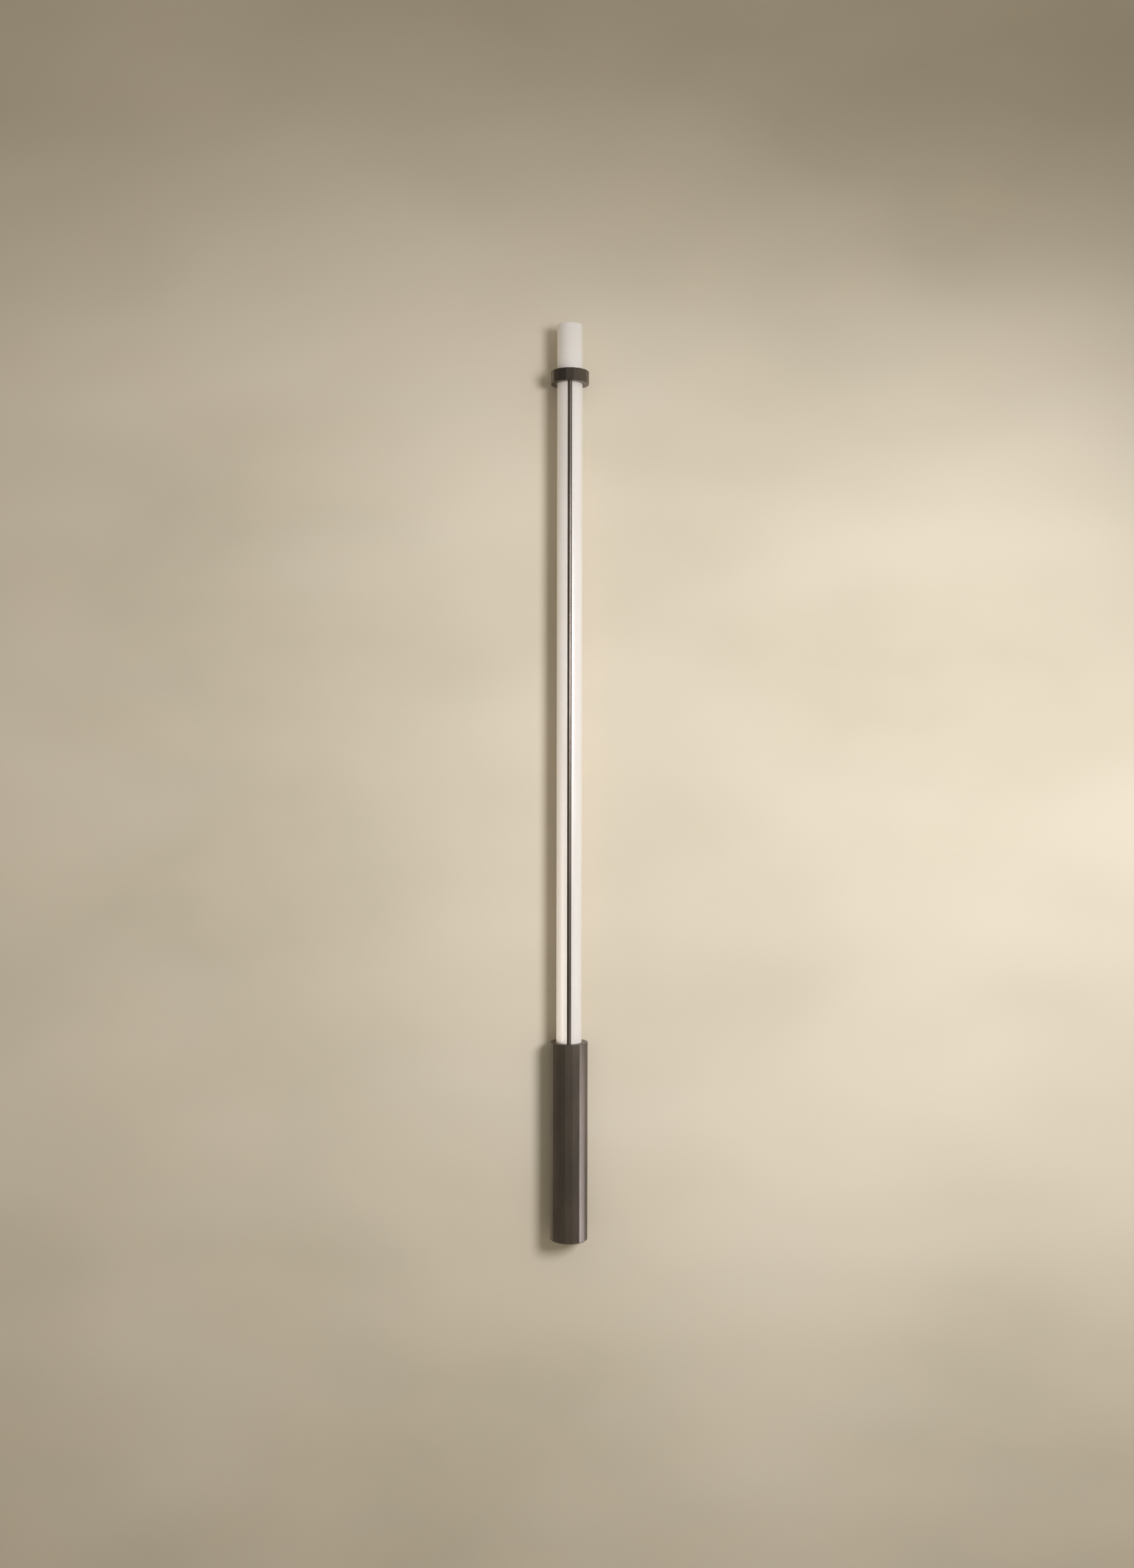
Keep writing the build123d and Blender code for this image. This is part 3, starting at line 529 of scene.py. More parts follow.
def softened(name, finish, node, edge_mm):
    """A copy of a CAD node with its sharp edges rounded off as a real edge is."""
    work = bmesh.new()
    work.from_mesh(nodes[node].data)
    bmesh.ops.remove_doubles(work, verts=work.verts, dist=weld_mm * MM)
    bmesh.ops.dissolve_limit(
        work, angle_limit=math.radians(flat_angle), verts=work.verts, edges=work.edges
    )
    sharp = [
        edge
        for edge in work.edges
        if len(edge.link_faces) == 2 and edge.calc_face_angle(0) > math.radians(sharp_angle)
    ]
    bmesh.ops.bevel(
        work,
        geom=sharp,
        offset=edge_mm * MM,
        segments=2,
        profile=0.5,
        affect="EDGES",
        clamp_overlap=True,
    )
    bmesh.ops.remove_doubles(work, verts=work.verts, dist=weld_mm / 4 * MM)
    crease(work, sharp_angle)
    piece = as_object(name, kept_mesh(work, name), finish)
    # The broad faces stay flat in the light, and only the eased edges curve.
    flat = piece.modifiers.new("flat_faces", "WEIGHTED_NORMAL")
    flat.keep_sharp = True
    flat.weight = 100
    plain_mesh(piece)
    return piece


def plain_mesh(piece):
    """The piece as its modifiers leave it, as a plain mesh in its own finish."""
    finish = piece.data.materials[0]
    graph = bpy.context.evaluated_depsgraph_get()
    mesh = bpy.data.meshes.new_from_object(piece.evaluated_get(graph))
    mesh.materials.clear()
    mesh.materials.append(finish)
    old = piece.data
    piece.modifiers.clear()
    piece.data = mesh
    bpy.data.meshes.remove(old)
    return mesh


def run_tree(piece, tree, **values):
    """Runs a Geometry Nodes tree on a piece with these named inputs, and keeps the result."""
    modifier = piece.modifiers.new(tree.name, "NODES")
    modifier.node_group = tree
    inputs = [item for item in tree.interface.items_tree if item.in_out == "INPUT"]
    sockets = {item.name: item.identifier for item in inputs}
    for label, value in values.items():
        modifier[sockets[label.replace("_", " ")]] = value
    return plain_mesh(piece)


def new_tree(name, inputs):
    """An empty Geometry Nodes tree, and the sockets that give its named inputs."""
    tree = bpy.data.node_groups.new(name, "GeometryNodeTree")
    tree.interface.new_socket("Geometry", in_out="INPUT", socket_type="NodeSocketGeometry")
    for label, kind in inputs.items():
        tree.interface.new_socket(label, in_out="INPUT", socket_type=f"NodeSocket{kind}")
    tree.interface.new_socket("Geometry", in_out="OUTPUT", socket_type="NodeSocketGeometry")
    start = put(tree, "NodeGroupInput")
    return tree, start.outputs


def finish_tree(tree, geometry, finish):
    """Ends a tree: its copies made real, in one finish, at its output."""
    solid = put(tree, "GeometryNodeRealizeInstances", {"Geometry": geometry})
    done = put(
        tree, "GeometryNodeSetMaterial", {"Geometry": solid.outputs["Geometry"], "Material": finish}
    )
    put(tree, "NodeGroupOutput", {"Geometry": done.outputs["Geometry"]})


def row_tree():
    """Repeats the piece's own mesh in a straight row: LED chips, resistors and pads."""
    tree, given = new_tree(
        "row_of_pieces",
        {"Count": "Int", "First Place": "Vector", "Step": "Vector", "Finish": "Material"},
    )
    line = put(
        tree,
        "GeometryNodeMeshLine",
        {"Count": given["Count"], "Start Location": given["First Place"], "Offset": given["Step"]},
    )
    copies = put(
        tree,
        "GeometryNodeInstanceOnPoints",
        {"Points": line.outputs["Mesh"], "Instance": given["Geometry"]},
    )
    finish_tree(tree, copies.outputs["Instances"], given["Finish"])
    return tree


def faceted_tree():
    """A many-sided bar with rounded corners and an edge break at each end: the handle and the
    collar before they are bored."""
    tree, given = new_tree(
        "faceted_bar",
        {
            "Sides": "Int",
            "Across Flats": "Float",
            "Corner Radius": "Float",
            "Foot": "Vector",
            "Foot Break": "Float",
            "Height": "Float",
            "Top Break": "Float",
            "Finish": "Material",
        },
    )

    # The outline's corners lie further out than its flats, by the cosine of half a side's
    # turn, and that half turn brings a flat to the front.
    sides, across = given["Sides"], given["Across Flats"]
    half_turn = put(tree, "ShaderNodeMath", {0: math.pi, 1: sides}, operation="DIVIDE")
    half_across = put(tree, "ShaderNodeMath", {0: across, 1: 2.0}, operation="DIVIDE")
    cosine = put(tree, "ShaderNodeMath", {0: half_turn}, operation="COSINE")
    corner = put(tree, "ShaderNodeMath", {0: half_across, 1: cosine}, operation="DIVIDE")
    circle = put(
        tree, "GeometryNodeCurvePrimitiveCircle", {"Resolution": sides, "Radius": corner}
    )
    turned_half = put(tree, "ShaderNodeCombineXYZ", {"Z": half_turn})
    facing = put(
        tree,
        "GeometryNodeTransform",
        {"Geometry": circle.outputs["Curve"], "Rotation": turned_half},
    )
    rounded = put(
        tree,
        "GeometryNodeFilletCurve",
        {"Curve": facing.outputs["Geometry"], "Radius": given["Corner Radius"], "Count": 3},
        mode="POLY",
    )
    face = put(tree, "GeometryNodeFillCurve", {"Curve": rounded.outputs["Curve"]}, mode="NGONS")

    # How far the bar narrows at each end, and how long it is between its two edge breaks
    foot_break, top_break = given["Foot Break"], given["Top Break"]
    foot_half = put(tree, "ShaderNodeMath", {0: half_across, 1: foot_break}, operation="SUBTRACT")
    foot_share = put(tree, "ShaderNodeMath", {0: foot_half, 1: half_across}, operation="DIVIDE")
    full_share = put(tree, "ShaderNodeMath", {0: half_across, 1: foot_half}, operation="DIVIDE")
    top_half = put(tree, "ShaderNodeMath", {0: half_across, 1: top_break}, operation="SUBTRACT")
    top_share = put(tree, "ShaderNodeMath", {0: top_half, 1: half_across}, operation="DIVIDE")
    above_foot = put(
        tree, "ShaderNodeMath", {0: given["Height"], 1: foot_break}, operation="SUBTRACT"
    )
    straight = put(tree, "ShaderNodeMath", {0: above_foot, 1: top_break}, operation="SUBTRACT")

    def lengthened(mesh, end, height, share=None):
        """The bar made longer by this height, with its new end scaled to this share."""
        raised = {"Mesh": mesh, "Offset": (0, 0, 1), "Offset Scale": height, "Individual": False}
        if end is not None:
            raised["Selection"] = end
        longer = put(tree, "GeometryNodeExtrudeMesh", raised, mode="FACES")
        mesh, end = longer.outputs["Mesh"], longer.outputs["Top"]
        if share is not None:
            scaled = {"Geometry": mesh, "Selection": end, "Scale": share}
            mesh = put(tree, "GeometryNodeScaleElements", scaled).outputs["Geometry"]
        return mesh, end

    foot = put(
        tree,
        "GeometryNodeScaleElements",
        {"Geometry": face.outputs["Mesh"], "Scale": foot_share},
    ).outputs["Geometry"]
    underside = put(tree, "GeometryNodeFlipFaces", {"Mesh": foot}).outputs["Mesh"]
    mesh, end = lengthened(foot, None, foot_break, full_share)
    mesh, end = lengthened(mesh, end, straight)
    mesh, end = lengthened(mesh, end, top_break, top_share)
    joined = put(tree, "GeometryNodeJoinGeometry")
    tree.links.new(mesh, joined.inputs["Geometry"])
    tree.links.new(underside, joined.inputs["Geometry"])
    welded = put(
        tree,
        "GeometryNodeMergeByDistance",
        {"Geometry": joined.outputs["Geometry"], "Distance": cut_weld_mm * MM},
    )
    placed = put(
        tree,
        "GeometryNodeTransform",
        {"Geometry": welded.outputs["Geometry"], "Translation": given["Foot"]},
    )
    finish_tree(tree, placed.outputs["Geometry"], given["Finish"])
    return tree


rows = row_tree()
faceted = faceted_tree()


def empty_piece(name, finish):
    """A piece with no mesh yet, for a tree that makes its own."""
    return as_object(name, bpy.data.meshes.new(name), finish)


def bored(piece, cutters, crease_angle):
    """Cuts the cutters out of a piece."""
    for cutter in cutters:
        cut = piece.modifiers.new(cutter.name, "BOOLEAN")
        cut.operation = "DIFFERENCE"
        cut.solver = "EXACT"
        cut.object = cutter
    mesh = plain_mesh(piece)
    work = bmesh.new()
    work.from_mesh(mesh)
    bmesh.ops.remove_doubles(work, verts=work.verts, dist=cut_weld_mm * MM)
    crease(work, crease_angle)
    for face in work.faces:
        face.material_index = 0
    work.to_mesh(mesh)
    work.free()
    for cutter in cutters:
        bpy.data.objects.remove(cutter)


def drill(name, section, centre=(0.0, 0.0), sides=broad_sides):
    """A round cutter."""
    return turned(name, section, "dark_bronze", centre, sides)


def straight_hole(radius, low, high):
    """The outline of a round hole between two heights."""
    return [(0, low), (radius, low), (radius, high), (0, high)]


def box_cutter(name, low, high):
    """A rectangular cutter between two corners in millimetres."""
    work = bmesh.new()
    bmesh.ops.create_cube(work, size=1.0)
    low, high = Vector(low) * MM, Vector(high) * MM
    for vert in work.verts:
        vert.co = Vector(low[i] if vert.co[i] < 0 else high[i] for i in range(3))
    return as_object(name, kept_mesh(work, name), "dark_bronze")


# ---------------------------------------------------------------- handle
handle = empty_piece("faceted_handle", "dark_bronze")
run_tree(
    handle,
    faceted,
    Sides=facet_count,
    Across_Flats=handle_across * MM,
    Corner_Radius=facet_corner * MM,
    Foot=AXIS + Vector((0, 0, handle_bottom * MM)),
    Foot_Break=handle_foot_chamfer * MM,
    Height=(handle_top - handle_bottom) * MM,
    Top_Break=edge_break * MM,
    Finish=finishes["dark_bronze"],
)
bore_top = handle_top - handle_top_wall
glass_hole_edge = 0.3
cap_seat_radius = 22.9 + fit_play
cap_seat_top = handle_bottom + 5.0
window_half, window_bottom, window_top = 10.8, -106.0, 91.0
window_front, window_back = -16.5, 6.0
bored(
    handle,
    [
        drill(
            "glass_hole",
            [
                (0, bore_top - past),
                (glass_hole, bore_top - past),
                (glass_hole, handle_top - glass_hole_edge),
                (glass_hole + 2 * glass_hole_edge, handle_top + glass_hole_edge),
                (0, handle_top + glass_hole_edge),
            ],
        ),
        drill("main_bore", straight_hole(handle_bore, handle_bottom - past, bore_top)),
        drill("cap_seat", straight_hole(cap_seat_radius, handle_bottom - past, cap_seat_top)),
        box_cutter(
            "back_window",
            (-window_half, window_front, window_bottom),
            (window_half, window_back, window_top),
        ),
    ],
    facet_crease,
)
declare(handle, "fixture", "dark_bronze", "handle_sleeve")

# ---------------------------------------------------------------- collar
collar = empty_piece("faceted_collar", "dark_bronze")
run_tree(
    collar,
    faceted,
    Sides=facet_count,
    Across_Flats=collar_across * MM,
    Corner_Radius=facet_corner * MM,
    Foot=AXIS + Vector((0, 0, collar_bottom * MM)),
    Foot_Break=edge_break * MM,
    Height=(collar_top - collar_bottom) * MM,
    Top_Break=edge_break * MM,
    Finish=finishes["dark_bronze"],
)
bore_edge = 0.2
nut_recess_radius = 3.0
rod_centre = (0, -rod_ahead)
# The T-slot in the collar's back that drops over the wall stud's neck and head
neck_half, neck_top = 3.5, 1048.5
neck_front, neck_back = -6.0, 6.0
head_half, head_top = 5.3, 1050.5
head_front, head_back = -8.3, -5.7
below_collar = collar_bottom - past
bored(
    collar,
    [
        drill(
            "collar_bore",
            [
                (0, collar_bottom - bore_edge),
                (collar_bore + 2 * bore_edge, collar_bottom - bore_edge),
                (collar_bore, collar_bottom + bore_edge),
                (collar_bore, collar_top - bore_edge),
                (collar_bore + 2 * bore_edge, collar_top + bore_edge),
                (0, collar_top + bore_edge),
            ],
        ),
        drill(
            "nut_recess",
            straight_hole(nut_recess_radius, collar_top - nut_height, collar_top + past),
            rod_centre,
            small_sides,
        ),
        drill(
            "rod_hole",
            straight_hole(screw_thread + hole_play, below_collar, collar_top),
            rod_centre,
            small_sides,
        ),
        box_cutter(
            "stud_neck_slot",
            (-neck_half, neck_front, below_collar),
            (neck_half, neck_back, neck_top),
        ),
        box_cutter(
            "stud_head_slot",
            (-head_half, head_front, below_collar),
            (head_half, head_back, head_top),
        ),
    ],
    facet_crease,
)
declare(collar, "fixture", "dark_bronze", "tube_collar")

# ---------------------------------------------------------------- glass
inside = glass_radius - glass_wall
top_edge = 0.8
foot_edge_inside, foot_edge_outside = 0.2, 0.3
joint, joint_edge = 0.05, 0.15
top_turns = [math.radians(angle) for angle in (90, 72, 54, 36, 18, 0)]
top_round = [
    (
        glass_radius - top_edge + top_edge * math.sin(turn),
        glass_top - top_edge + top_edge * math.cos(turn),
    )
    for turn in top_turns
]
opal_tube = turned(
    "opal_tube",
    [
        (inside, glass_foot + foot_edge_inside),
        (inside + foot_edge_inside, glass_foot),
        (glass_radius - foot_edge_outside, glass_foot),
        (glass_radius, glass_foot + foot_edge_outside),
        *top_round,
        (inside + joint_edge, glass_top),
        (inside, glass_top - joint_edge),
    ],
    "opal_glass",
)
declare(opal_tube, "diffuser", "opal_glass", "diffuser_tube")
disc_radius = inside - joint
opal_disc = turned(
    "opal_end_disc",
    [
        (0, glass_top - glass_lid),
        (disc_radius, glass_top - glass_lid),
        (disc_radius, glass_top - joint_edge),
        (disc_radius - joint_edge, glass_top),
        (0, glass_top),
    ],
    "opal_glass",
)
declare(opal_disc, "diffuser", "opal_glass", "diffuser_end_disc")

# ---------------------------------------------------------------- rod and its nut
rod_foot = handle_top - 8.0
rod_edge = 0.2
thread_top, thread_edge = collar_top - 1.0, 0.3
rod = turned(
    "front_rod",
    [
        (0, rod_foot),
        (screw_thread, rod_foot),
        (screw_thread, handle_top),
        (rod_radius - rod_edge, handle_top),
        (rod_radius, handle_top + rod_edge),
        (rod_radius, collar_bottom - rod_edge),
        (rod_radius - rod_edge, collar_bottom),
        (screw_thread, collar_bottom),
        (screw_thread, thread_top - thread_edge),
        (screw_thread - thread_edge, thread_top),
        (0, thread_top),
    ],
    "dark_bronze",
    rod_centre,
    small_sides,
)
declare(rod, "fixture", "dark_bronze", "tie_rod")
nut_radius, nut_rim = 2.9, 0.25
nut_foot = collar_top - nut_height
slot_half, slot_depth = 0.5, 1.0
nut = turned(
    "slotted_nut",
    [
        (screw_thread, nut_foot),
        (nut_radius, nut_foot),
        (nut_radius, collar_top - nut_rim),
        (nut_radius - nut_rim, collar_top),
        (screw_thread + nut_rim, collar_top),
        (screw_thread, collar_top - nut_rim),
    ],
    "dark_bronze",
    rod_centre,
    small_sides,
)
rod_line = AXIS.y / MM - rod_ahead
nut_slot = box_cutter(
    "nut_slot",
    (-nut_radius - past, rod_line - slot_half, collar_top - slot_depth),
    (nut_radius + past, rod_line + slot_half, collar_top + past),
)
bored(nut, [nut_slot], round_crease)
declare(nut, "fixture", "dark_bronze", "rod_nut")

# ---------------------------------------------------------------- LED strips
board_face, board_thickness, board_width = 4.4, 0.5, 10.0
board_bottom, board_top = 106.5, 1099.0
chip_width, chip_length, chip_height = 2.8, 3.5, 0.8
chip_pitch, chip_count = 16.5, 58
chip_middle = 602.75
cup_rim, cup_depth = 0.32, 0.16
glow_inset, glow_back, glow_front = 0.33, 0.3, 0.75
chips_per_resistor = 3
resistor_size = (0.8, 0.45, 1.6)
pad_across, pad_height = 3.0, 114.0
pad_size = (2.4, 0.05, 3.2)
strip_edge = 0.05


def block(work, low, high):
    """A box between two corners in millimetres; gives its faces."""
    made = bmesh.ops.create_cube(work, size=1.0)
    low, high = Vector(low) * MM, Vector(high) * MM
    for vert in made["verts"]:
        vert.co = Vector(low[i] if vert.co[i] < 0 else high[i] for i in range(3))
    return {face for vert in made["verts"] for face in vert.link_faces}


def chip_body(work):
    """One package that faces -Y: a bevelled frame round a shallow cup."""
    half_wide, half_long = chip_width / 2, chip_length / 2
    faces = block(work, (-half_wide, -chip_height, -half_long), (half_wide, 0, half_long))
    front = min(faces, key=lambda face: face.calc_center_median().y)
    bmesh.ops.inset_region(work, faces=[front], thickness=cup_rim * MM)
    bmesh.ops.translate(work, verts=front.verts, vec=Vector((0, cup_depth * MM, 0)))


def chip_glow(work):
    """The phosphor that fills one package's cup nearly to its rim."""
    half_wide, half_long = chip_width / 2 - glow_inset, chip_length / 2 - glow_inset
    block(work, (-half_wide, -glow_front, -half_long), (half_wide, -glow_back, half_long))


def resistor(work):
    """One small resistor that lies across the strip."""
    wide, high, long = resistor_size
    block(work, (-long / 2, -high, -wide / 2), (long / 2, 0, wide / 2))


def solder_pad(work):
    """One tinned pad at the strip's foot."""
    wide, high, long = pad_size
    block(work, (-wide / 2, -high, -long / 2), (wide / 2, 0, long / 2))


def strip_board(work):
    """The strip's bare board, with its face at Y = 0."""
    block(work, (-board_width / 2, 0, board_bottom), (board_width / 2, board_thickness, board_top))


def row_on_strip(name, shape, finish, side, count, first, step):
    """A row of one shape on the strip that faces the front (side 1) or the wall (side -1)."""
    work = bmesh.new()
    shape(work)
    bmesh.ops.bevel(
        work,
        geom=work.edges[:],
        offset=strip_edge * MM,
        segments=1,
        affect="EDGES",
        clamp_overlap=True,
    )
    if side < 0:
        half_turn = Matrix.Rotation(math.pi, 3, "Z")
        bmesh.ops.rotate(work, verts=work.verts, cent=(0, 0, 0), matrix=half_turn)
    bmesh.ops.recalc_face_normals(work, faces=work.faces)
    piece = as_object(name, kept_mesh(work, name), finish)
    face = AXIS + Vector((0, -side * board_face * MM, 0))
    first, step = Vector(first) * MM, Vector(step) * MM
    run_tree(piece, rows, Count=count, First_Place=face + first, Step=step, Finish=finishes[finish])
    return piece


def led_strip(side, name, node):
    """One strip: board, packages, phosphor, resistors and pads."""
    first_chip = chip_middle - chip_pitch * (chip_count - 1) / 2
    chip_place, chip_step = (0, 0, first_chip), (0, 0, chip_pitch)
    resistors = (chip_count - 1) // chips_per_resistor
    resistor_place = (0, 0, first_chip + chip_pitch / 2)
    resistor_step = (0, 0, chip_pitch * chips_per_resistor)
    pad_place, pad_step = (-pad_across, 0, pad_height), (2 * pad_across, 0, 0)
    still = (0, 0, 0)
    board = row_on_strip(f"{name}_board", strip_board, "white_board", side, 1, still, still)
    declare(board, "fixture", "white_board", node)
    for part, shape, finish, count, first, step in (
        ("packages", chip_body, "connector_plastic", chip_count, chip_place, chip_step),
        ("phosphor", chip_glow, "phosphor", chip_count, chip_place, chip_step),
        ("resistors", resistor, "resistor_glaze", resistors, resistor_place, resistor_step),
        ("pads", solder_pad, "tinned_copper", 2, pad_place, pad_step),
    ):
        row = row_on_strip(f"{name}_{part}", shape, finish, side, count, first, step)
        declare(row, "fixture", "white_board")


led_strip(1, "front_strip", "led_strip_front")
led_strip(-1, "rear_strip", "led_strip_rear")

# ---------------------------------------------------------------- pieces with eased edges
eased = {}
for name, node, finish, edge_mm in (
    ("folded_wall_bracket", "wall_bracket", "zinc_steel", 0.25),
    ("folded_driver_tray", "driver_tray", "zinc_steel", 0.2),
    ("turned_glass_seat", "tube_seat", "aluminium", 0.25),
    ("extruded_core", "led_profile", "aluminium", 0.15),
    ("turned_core_cap", "core_top_cap", "aluminium", 0.2),
    ("driver_tub", "driver_case", "driver_shell", 0.3),
    ("driver_cover", "driver_lid", "driver_shell", 0.3),
    ("supply_block", "terminal_block", "terminal_grey", 0.25),
    ("mushroom_stud", "upper_wall_stud", "zinc_steel", 0.15),
    ("cable_bush", "cable_grommet", "black_rubber", 0.25),
    ("foot_cap", "handle_end_cap", "dark_bronze", 0.25),
    ("foot_screw", "end_cap_screw", "dark_bronze", 0.1),
    ("bracket_pins", "hanger_pins", "zinc_steel", 0.15),
    ("transformer_block", "driver_transformer", "winding_tape", 0.3),
    ("terminal_bars_bent", "terminal_bars", "terminal_brass", 0.1),
):
    eased[node] = softened(name, finish, node, edge_mm)
    declare(eased[node], "fixture", finish, node)

# ---------------------------------------------------------------- camera
# It stands level with the light's middle and looks almost straight at the wall.
camera_place = Vector((0, -2.074, 0.5125))
focal_px, picture_height_px = 2150.0, 2268.0
pitch, yaw, roll = math.radians(0.587), math.radians(0.09), math.radians(0.085)
lens = bpy.data.cameras.new("camera")
lens.sensor_width = 36.0
lens.lens = focal_px * lens.sensor_width / picture_height_px
camera = bpy.data.objects.new("camera", lens)
camera.location = camera_place
to_side = Matrix.Rotation(yaw, 4, "Z")
down_from_level = Matrix.Rotation(math.pi / 2 - pitch, 4, "X")
about_view = Matrix.Rotation(roll, 4, "Z")
camera.rotation_euler = (to_side @ down_from_level @ about_view).to_euler()
bpy.context.scene.collection.objects.link(camera)
bpy.context.scene.camera = camera
bpy.context.scene.view_settings.view_transform = "Standard"


# ---------------------------------------------------------------- wall, floor and light
def panel(name, corners, material):
    """A flat panel of the set."""
    mesh = bpy.data.meshes.new(name)
    mesh.from_pydata(corners, [], [tuple(range(len(corners)))])
    mesh.materials.append(material)
    piece = bpy.data.objects.new(name, mesh)
    bpy.context.scene.collection.objects.link(piece)
    return piece


wall_left, wall_right, wall_foot, wall_head = -2.6, 2.2, -1.2, 3.4
# A hair behind the bracket's back, so that the two faces don't flicker.
wall_y = 0.0004
plaster = panel(
    "plaster_wall",
    [
        (wall_left, wall_y, wall_foot),
        (wall_right, wall_y, wall_foot),
        (wall_right, wall_y, wall_head),
        (wall_left, wall_y, wall_head),
    ],
    wall_plaster(),
)
# Matt paint on a smooth screed: pale and even.
floor_finish = surface(
    "painted_screed",
    ("#e2ddd4", "#e8e4dc"),
    cloud_mm=(300, 300, 300),
    rough=(0.6, 0.75),
    grain_mm=(4, 4, 4),
    depth_mm=0.05,
)
# The floor is seen a little paler than it lights the rest.
floor_lift = 0.26
floor_tree = floor_finish.node_tree
floor_shader = floor_tree.nodes["Principled BSDF"]
floor_seen = put(floor_tree, "ShaderNodeLightPath").outputs["Is Camera Ray"]
lifted = put(floor_tree, "ShaderNodeMath", {0: floor_seen, 1: floor_lift}, operation="MULTIPLY")
floor_tree.links.new(lifted.outputs[0], floor_shader.inputs["Emission Strength"])
floor_shader.inputs["Emission Color"].default_value = linear("#f2eee6")
floor_reach = 30.0
panel(
    "floor",
    [
        (-floor_reach, -floor_reach, wall_foot),
        (floor_reach, -floor_reach, wall_foot),
        (floor_reach, floor_reach, wall_foot),
        (-floor_reach, floor_reach, wall_foot),
    ],
    floor_finish,
)

world = bpy.data.worlds.new("studio")
bpy.context.scene.world = world
world.use_nodes = True
sky = world.node_tree
sky.nodes.clear()
# The room's light: dim on the left, brighter towards the window side on the right. What
# shines in the metal has more contrast, and is darker overhead.
room_left, room_right = 0.235, 0.57
shine_left, shine_right = 0.16, 1.4
shine_below, shine_above = 1.0, 0.45
backdrop_level = 0.9
heading = put(sky, "ShaderNodeTexCoord").outputs["Generated"]
axes = put(sky, "ShaderNodeSeparateXYZ", {"Vector": heading}).outputs
soft_level, side_shine, height_shine = (
    put(
        sky,
        "ShaderNodeMapRange",
        {"Value": axes[axis], "From Min": start, "From Max": end, "To Min": low, "To Max": high},
    )
    for axis, start, end, low, high in (
        ("X", -0.9, 0.9, room_left, room_right),
        ("X", -1.0, 1.0, shine_left, shine_right),
        ("Z", -0.2, 0.3, shine_below, shine_above),
    )
)
shine = put(sky, "ShaderNodeMath", {0: side_shine, 1: height_shine}, operation="MULTIPLY")
path = put(sky, "ShaderNodeLightPath").outputs
level = put(
    sky,
    "ShaderNodeMix",
    {"Factor": path["Is Glossy Ray"], "A": soft_level, "B": shine},
    data_type="FLOAT",
)
room_light = put(
    sky,
    "ShaderNodeBackground",
    {"Color": linear("#fffaed"), "Strength": level.outputs["Result"]},
)
backdrop = put(
    sky,
    "ShaderNodeBackground",
    {"Color": linear("#e8e3da"), "Strength": backdrop_level},
)
seen = put(
    sky,
    "ShaderNodeMath",
    {0: path["Is Camera Ray"], 1: path["Is Transmission Ray"]},
    operation="MAXIMUM",
)
either = put(
    sky,
    "ShaderNodeMixShader",
    {0: seen.outputs[0], 1: room_light.outputs[0], 2: backdrop.outputs[0]},
)
put(sky, "ShaderNodeOutputWorld", {"Surface": either.outputs[0]})


def aimed(name, light, place, target, watts, code):
    """Places a lamp so that it faces a point."""
    light.energy = watts
    light.color = linear(code)[:3]
    holder = bpy.data.objects.new(name, light)
    holder.location = place
    holder.rotation_euler = (Vector(target) - Vector(place)).to_track_quat("-Z", "Y").to_euler()
    bpy.context.scene.collection.objects.link(holder)
    return holder


def beam(name, place, target, cone, widen, tilt, radius, watts, code):
    """A soft beam, wider than it is tall, with a soft edge above and below."""
    light = bpy.data.lights.new(name, "SPOT")
    light.spot_size = math.radians(cone)
    light.spot_blend = 1.0
    light.shadow_soft_size = radius
    holder = aimed(name, light, place, target, watts, code)
    holder.rotation_euler.rotate_axis("Z", math.radians(tilt))
    holder.scale = (widen, 1.0, 1.0)
    return holder


def soft_card(name, place, target, width, height, watts, code):
    """A soft rectangular lamp."""
    light = bpy.data.lights.new(name, "AREA")
    light.shape = "RECTANGLE"
    light.size, light.size_y = width, height
    return aimed(name, light, place, target, watts, code)


def light_only(holder, *pieces):
    """Keeps a lamp's light on these pieces, as flags round it do."""
    lit = bpy.data.collections.new(f"{holder.name}_lights")
    for piece in pieces:
        lit.objects.link(piece)
    holder.light_linking.receiver_collection = lit


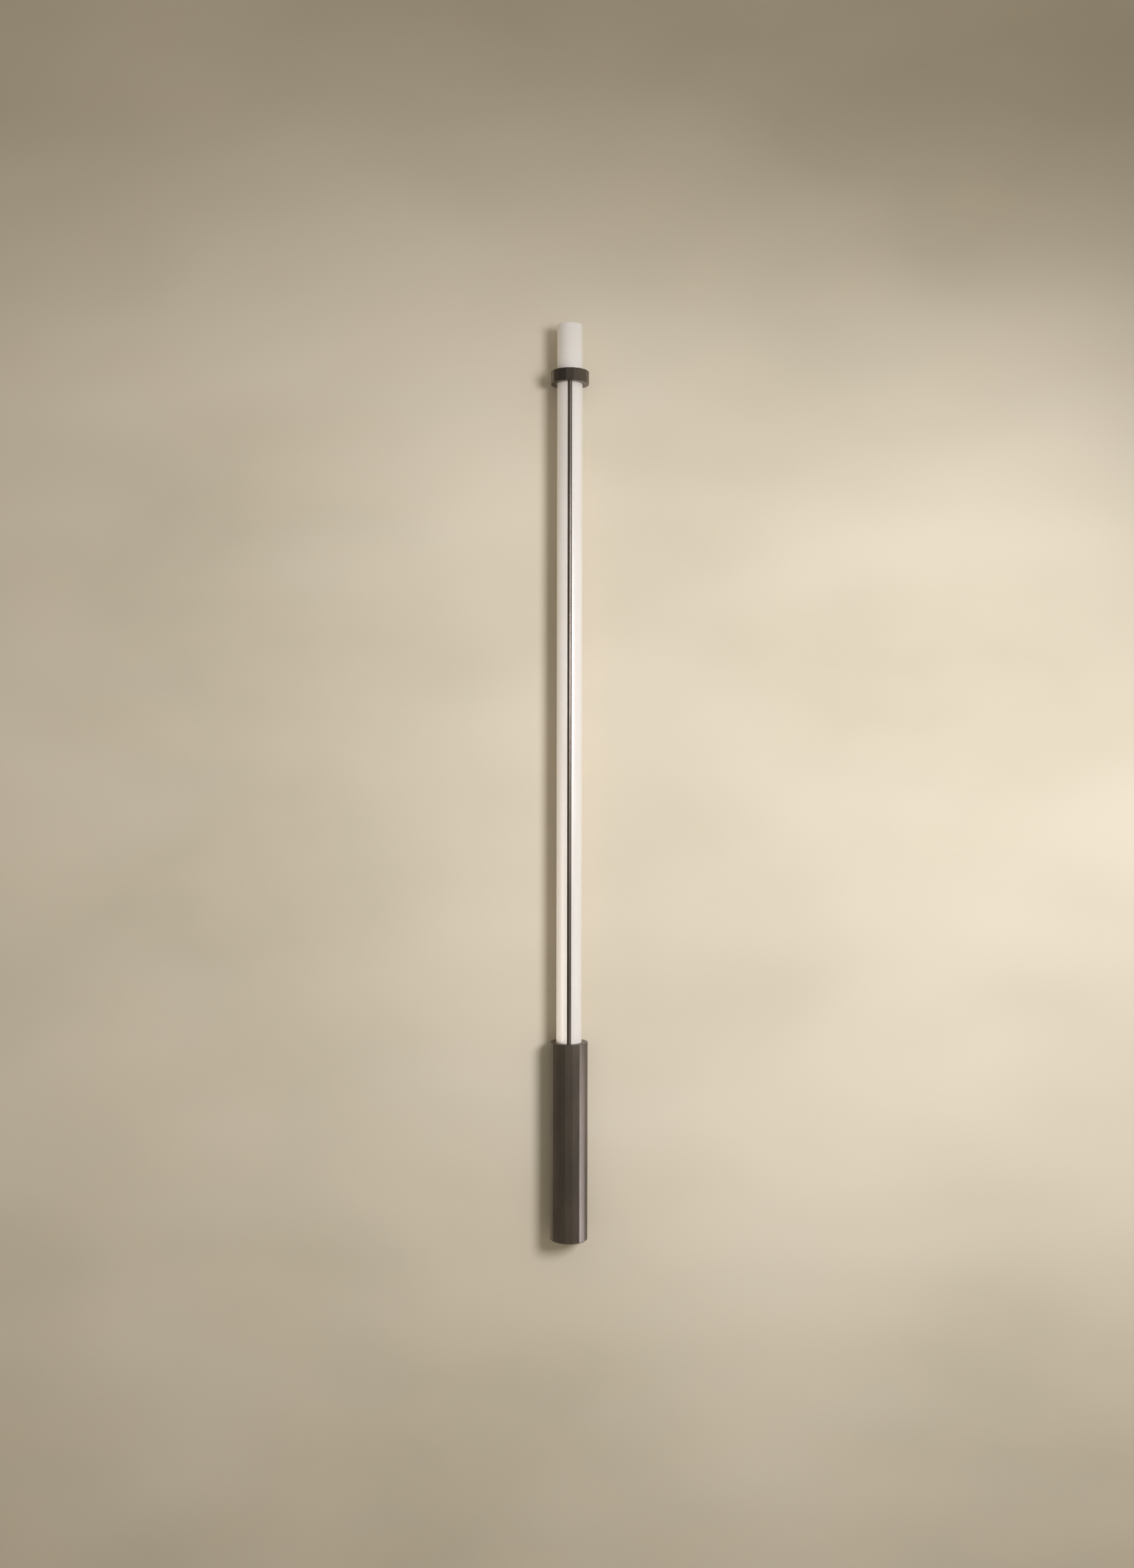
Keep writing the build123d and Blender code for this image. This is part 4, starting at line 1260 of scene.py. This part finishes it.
def left_out(name, pieces):
    """A collection that a lamp leaves out."""
    spared = bpy.data.collections.new(name)
    for piece in pieces:
        spared.objects.link(piece)
    for entry in spared.collection_objects:
        entry.light_linking.link_state = "EXCLUDE"
    return spared


def light_all_but(holder, *pieces):
    """Keeps a lamp's light off these pieces, as a card held in front of it does."""
    holder.light_linking.receiver_collection = left_out(f"{holder.name}_spares", pieces)


def let_past(holder, *pieces):
    """Lets a lamp's light past these pieces, so that they cast no shadow from it."""
    holder.light_linking.blocker_collection = left_out(f"{holder.name}_passes", pieces)


# Daylight from the right and above. The rod's shadow would cut the glass in two, and the
# collar would shine more than the handle.
window_beam = beam(
    "window_beam",
    place=(0.85, -1.65, 0.85),
    target=(0.27, 0, 0.34),
    cone=74,
    widen=1.65,
    tilt=-12,
    radius=0.3,
    watts=112,
    code="#f8faff",
)
let_past(window_beam, rod)
light_all_but(window_beam, collar, nut)
# The bright streak on the handle's right-hand facets
metal_card = soft_card(
    "low_right_card",
    place=(1.5, -0.28, -0.6),
    target=(0, -0.05, -0.05),
    width=0.5,
    height=0.8,
    watts=7.4,
    code="#f4f4ff",
)
light_only(metal_card, handle, rod)
# Lifts the glass's left half.
glass_fill = soft_card(
    "left_fill",
    place=(-0.95, -0.55, 0.0),
    target=(0, -0.03, 0.1),
    width=0.4,
    height=0.9,
    watts=6.2,
    code="#fff6ea",
)
light_only(glass_fill, opal_tube, opal_disc)
# Shows the pieces on the wall when the light is seen from behind.
rear_fill = soft_card(
    "rear_fill",
    place=(1.1, 1.3, -0.2),
    target=(0, 0, 0.1),
    width=1.0,
    height=1.4,
    watts=4,
    code="#fbf8f4",
)
wall_pieces = ("wall_bracket", "upper_wall_stud", "hanger_pins", "cable_grommet")
light_only(rear_fill, *(eased[node] for node in wall_pieces))
let_past(rear_fill, plaster)

# ---------------------------------------------------------------- finishes of the CAD pieces
given_slots = {row["node"]: row["material_slot"] for row in frame["record"]["subparts"]}
for node, slot in given_slots.items():
    mesh = nodes[node].data
    for index in range(len(mesh.materials)):
        nodes[node].material_slots[index].material = finishes[slot]
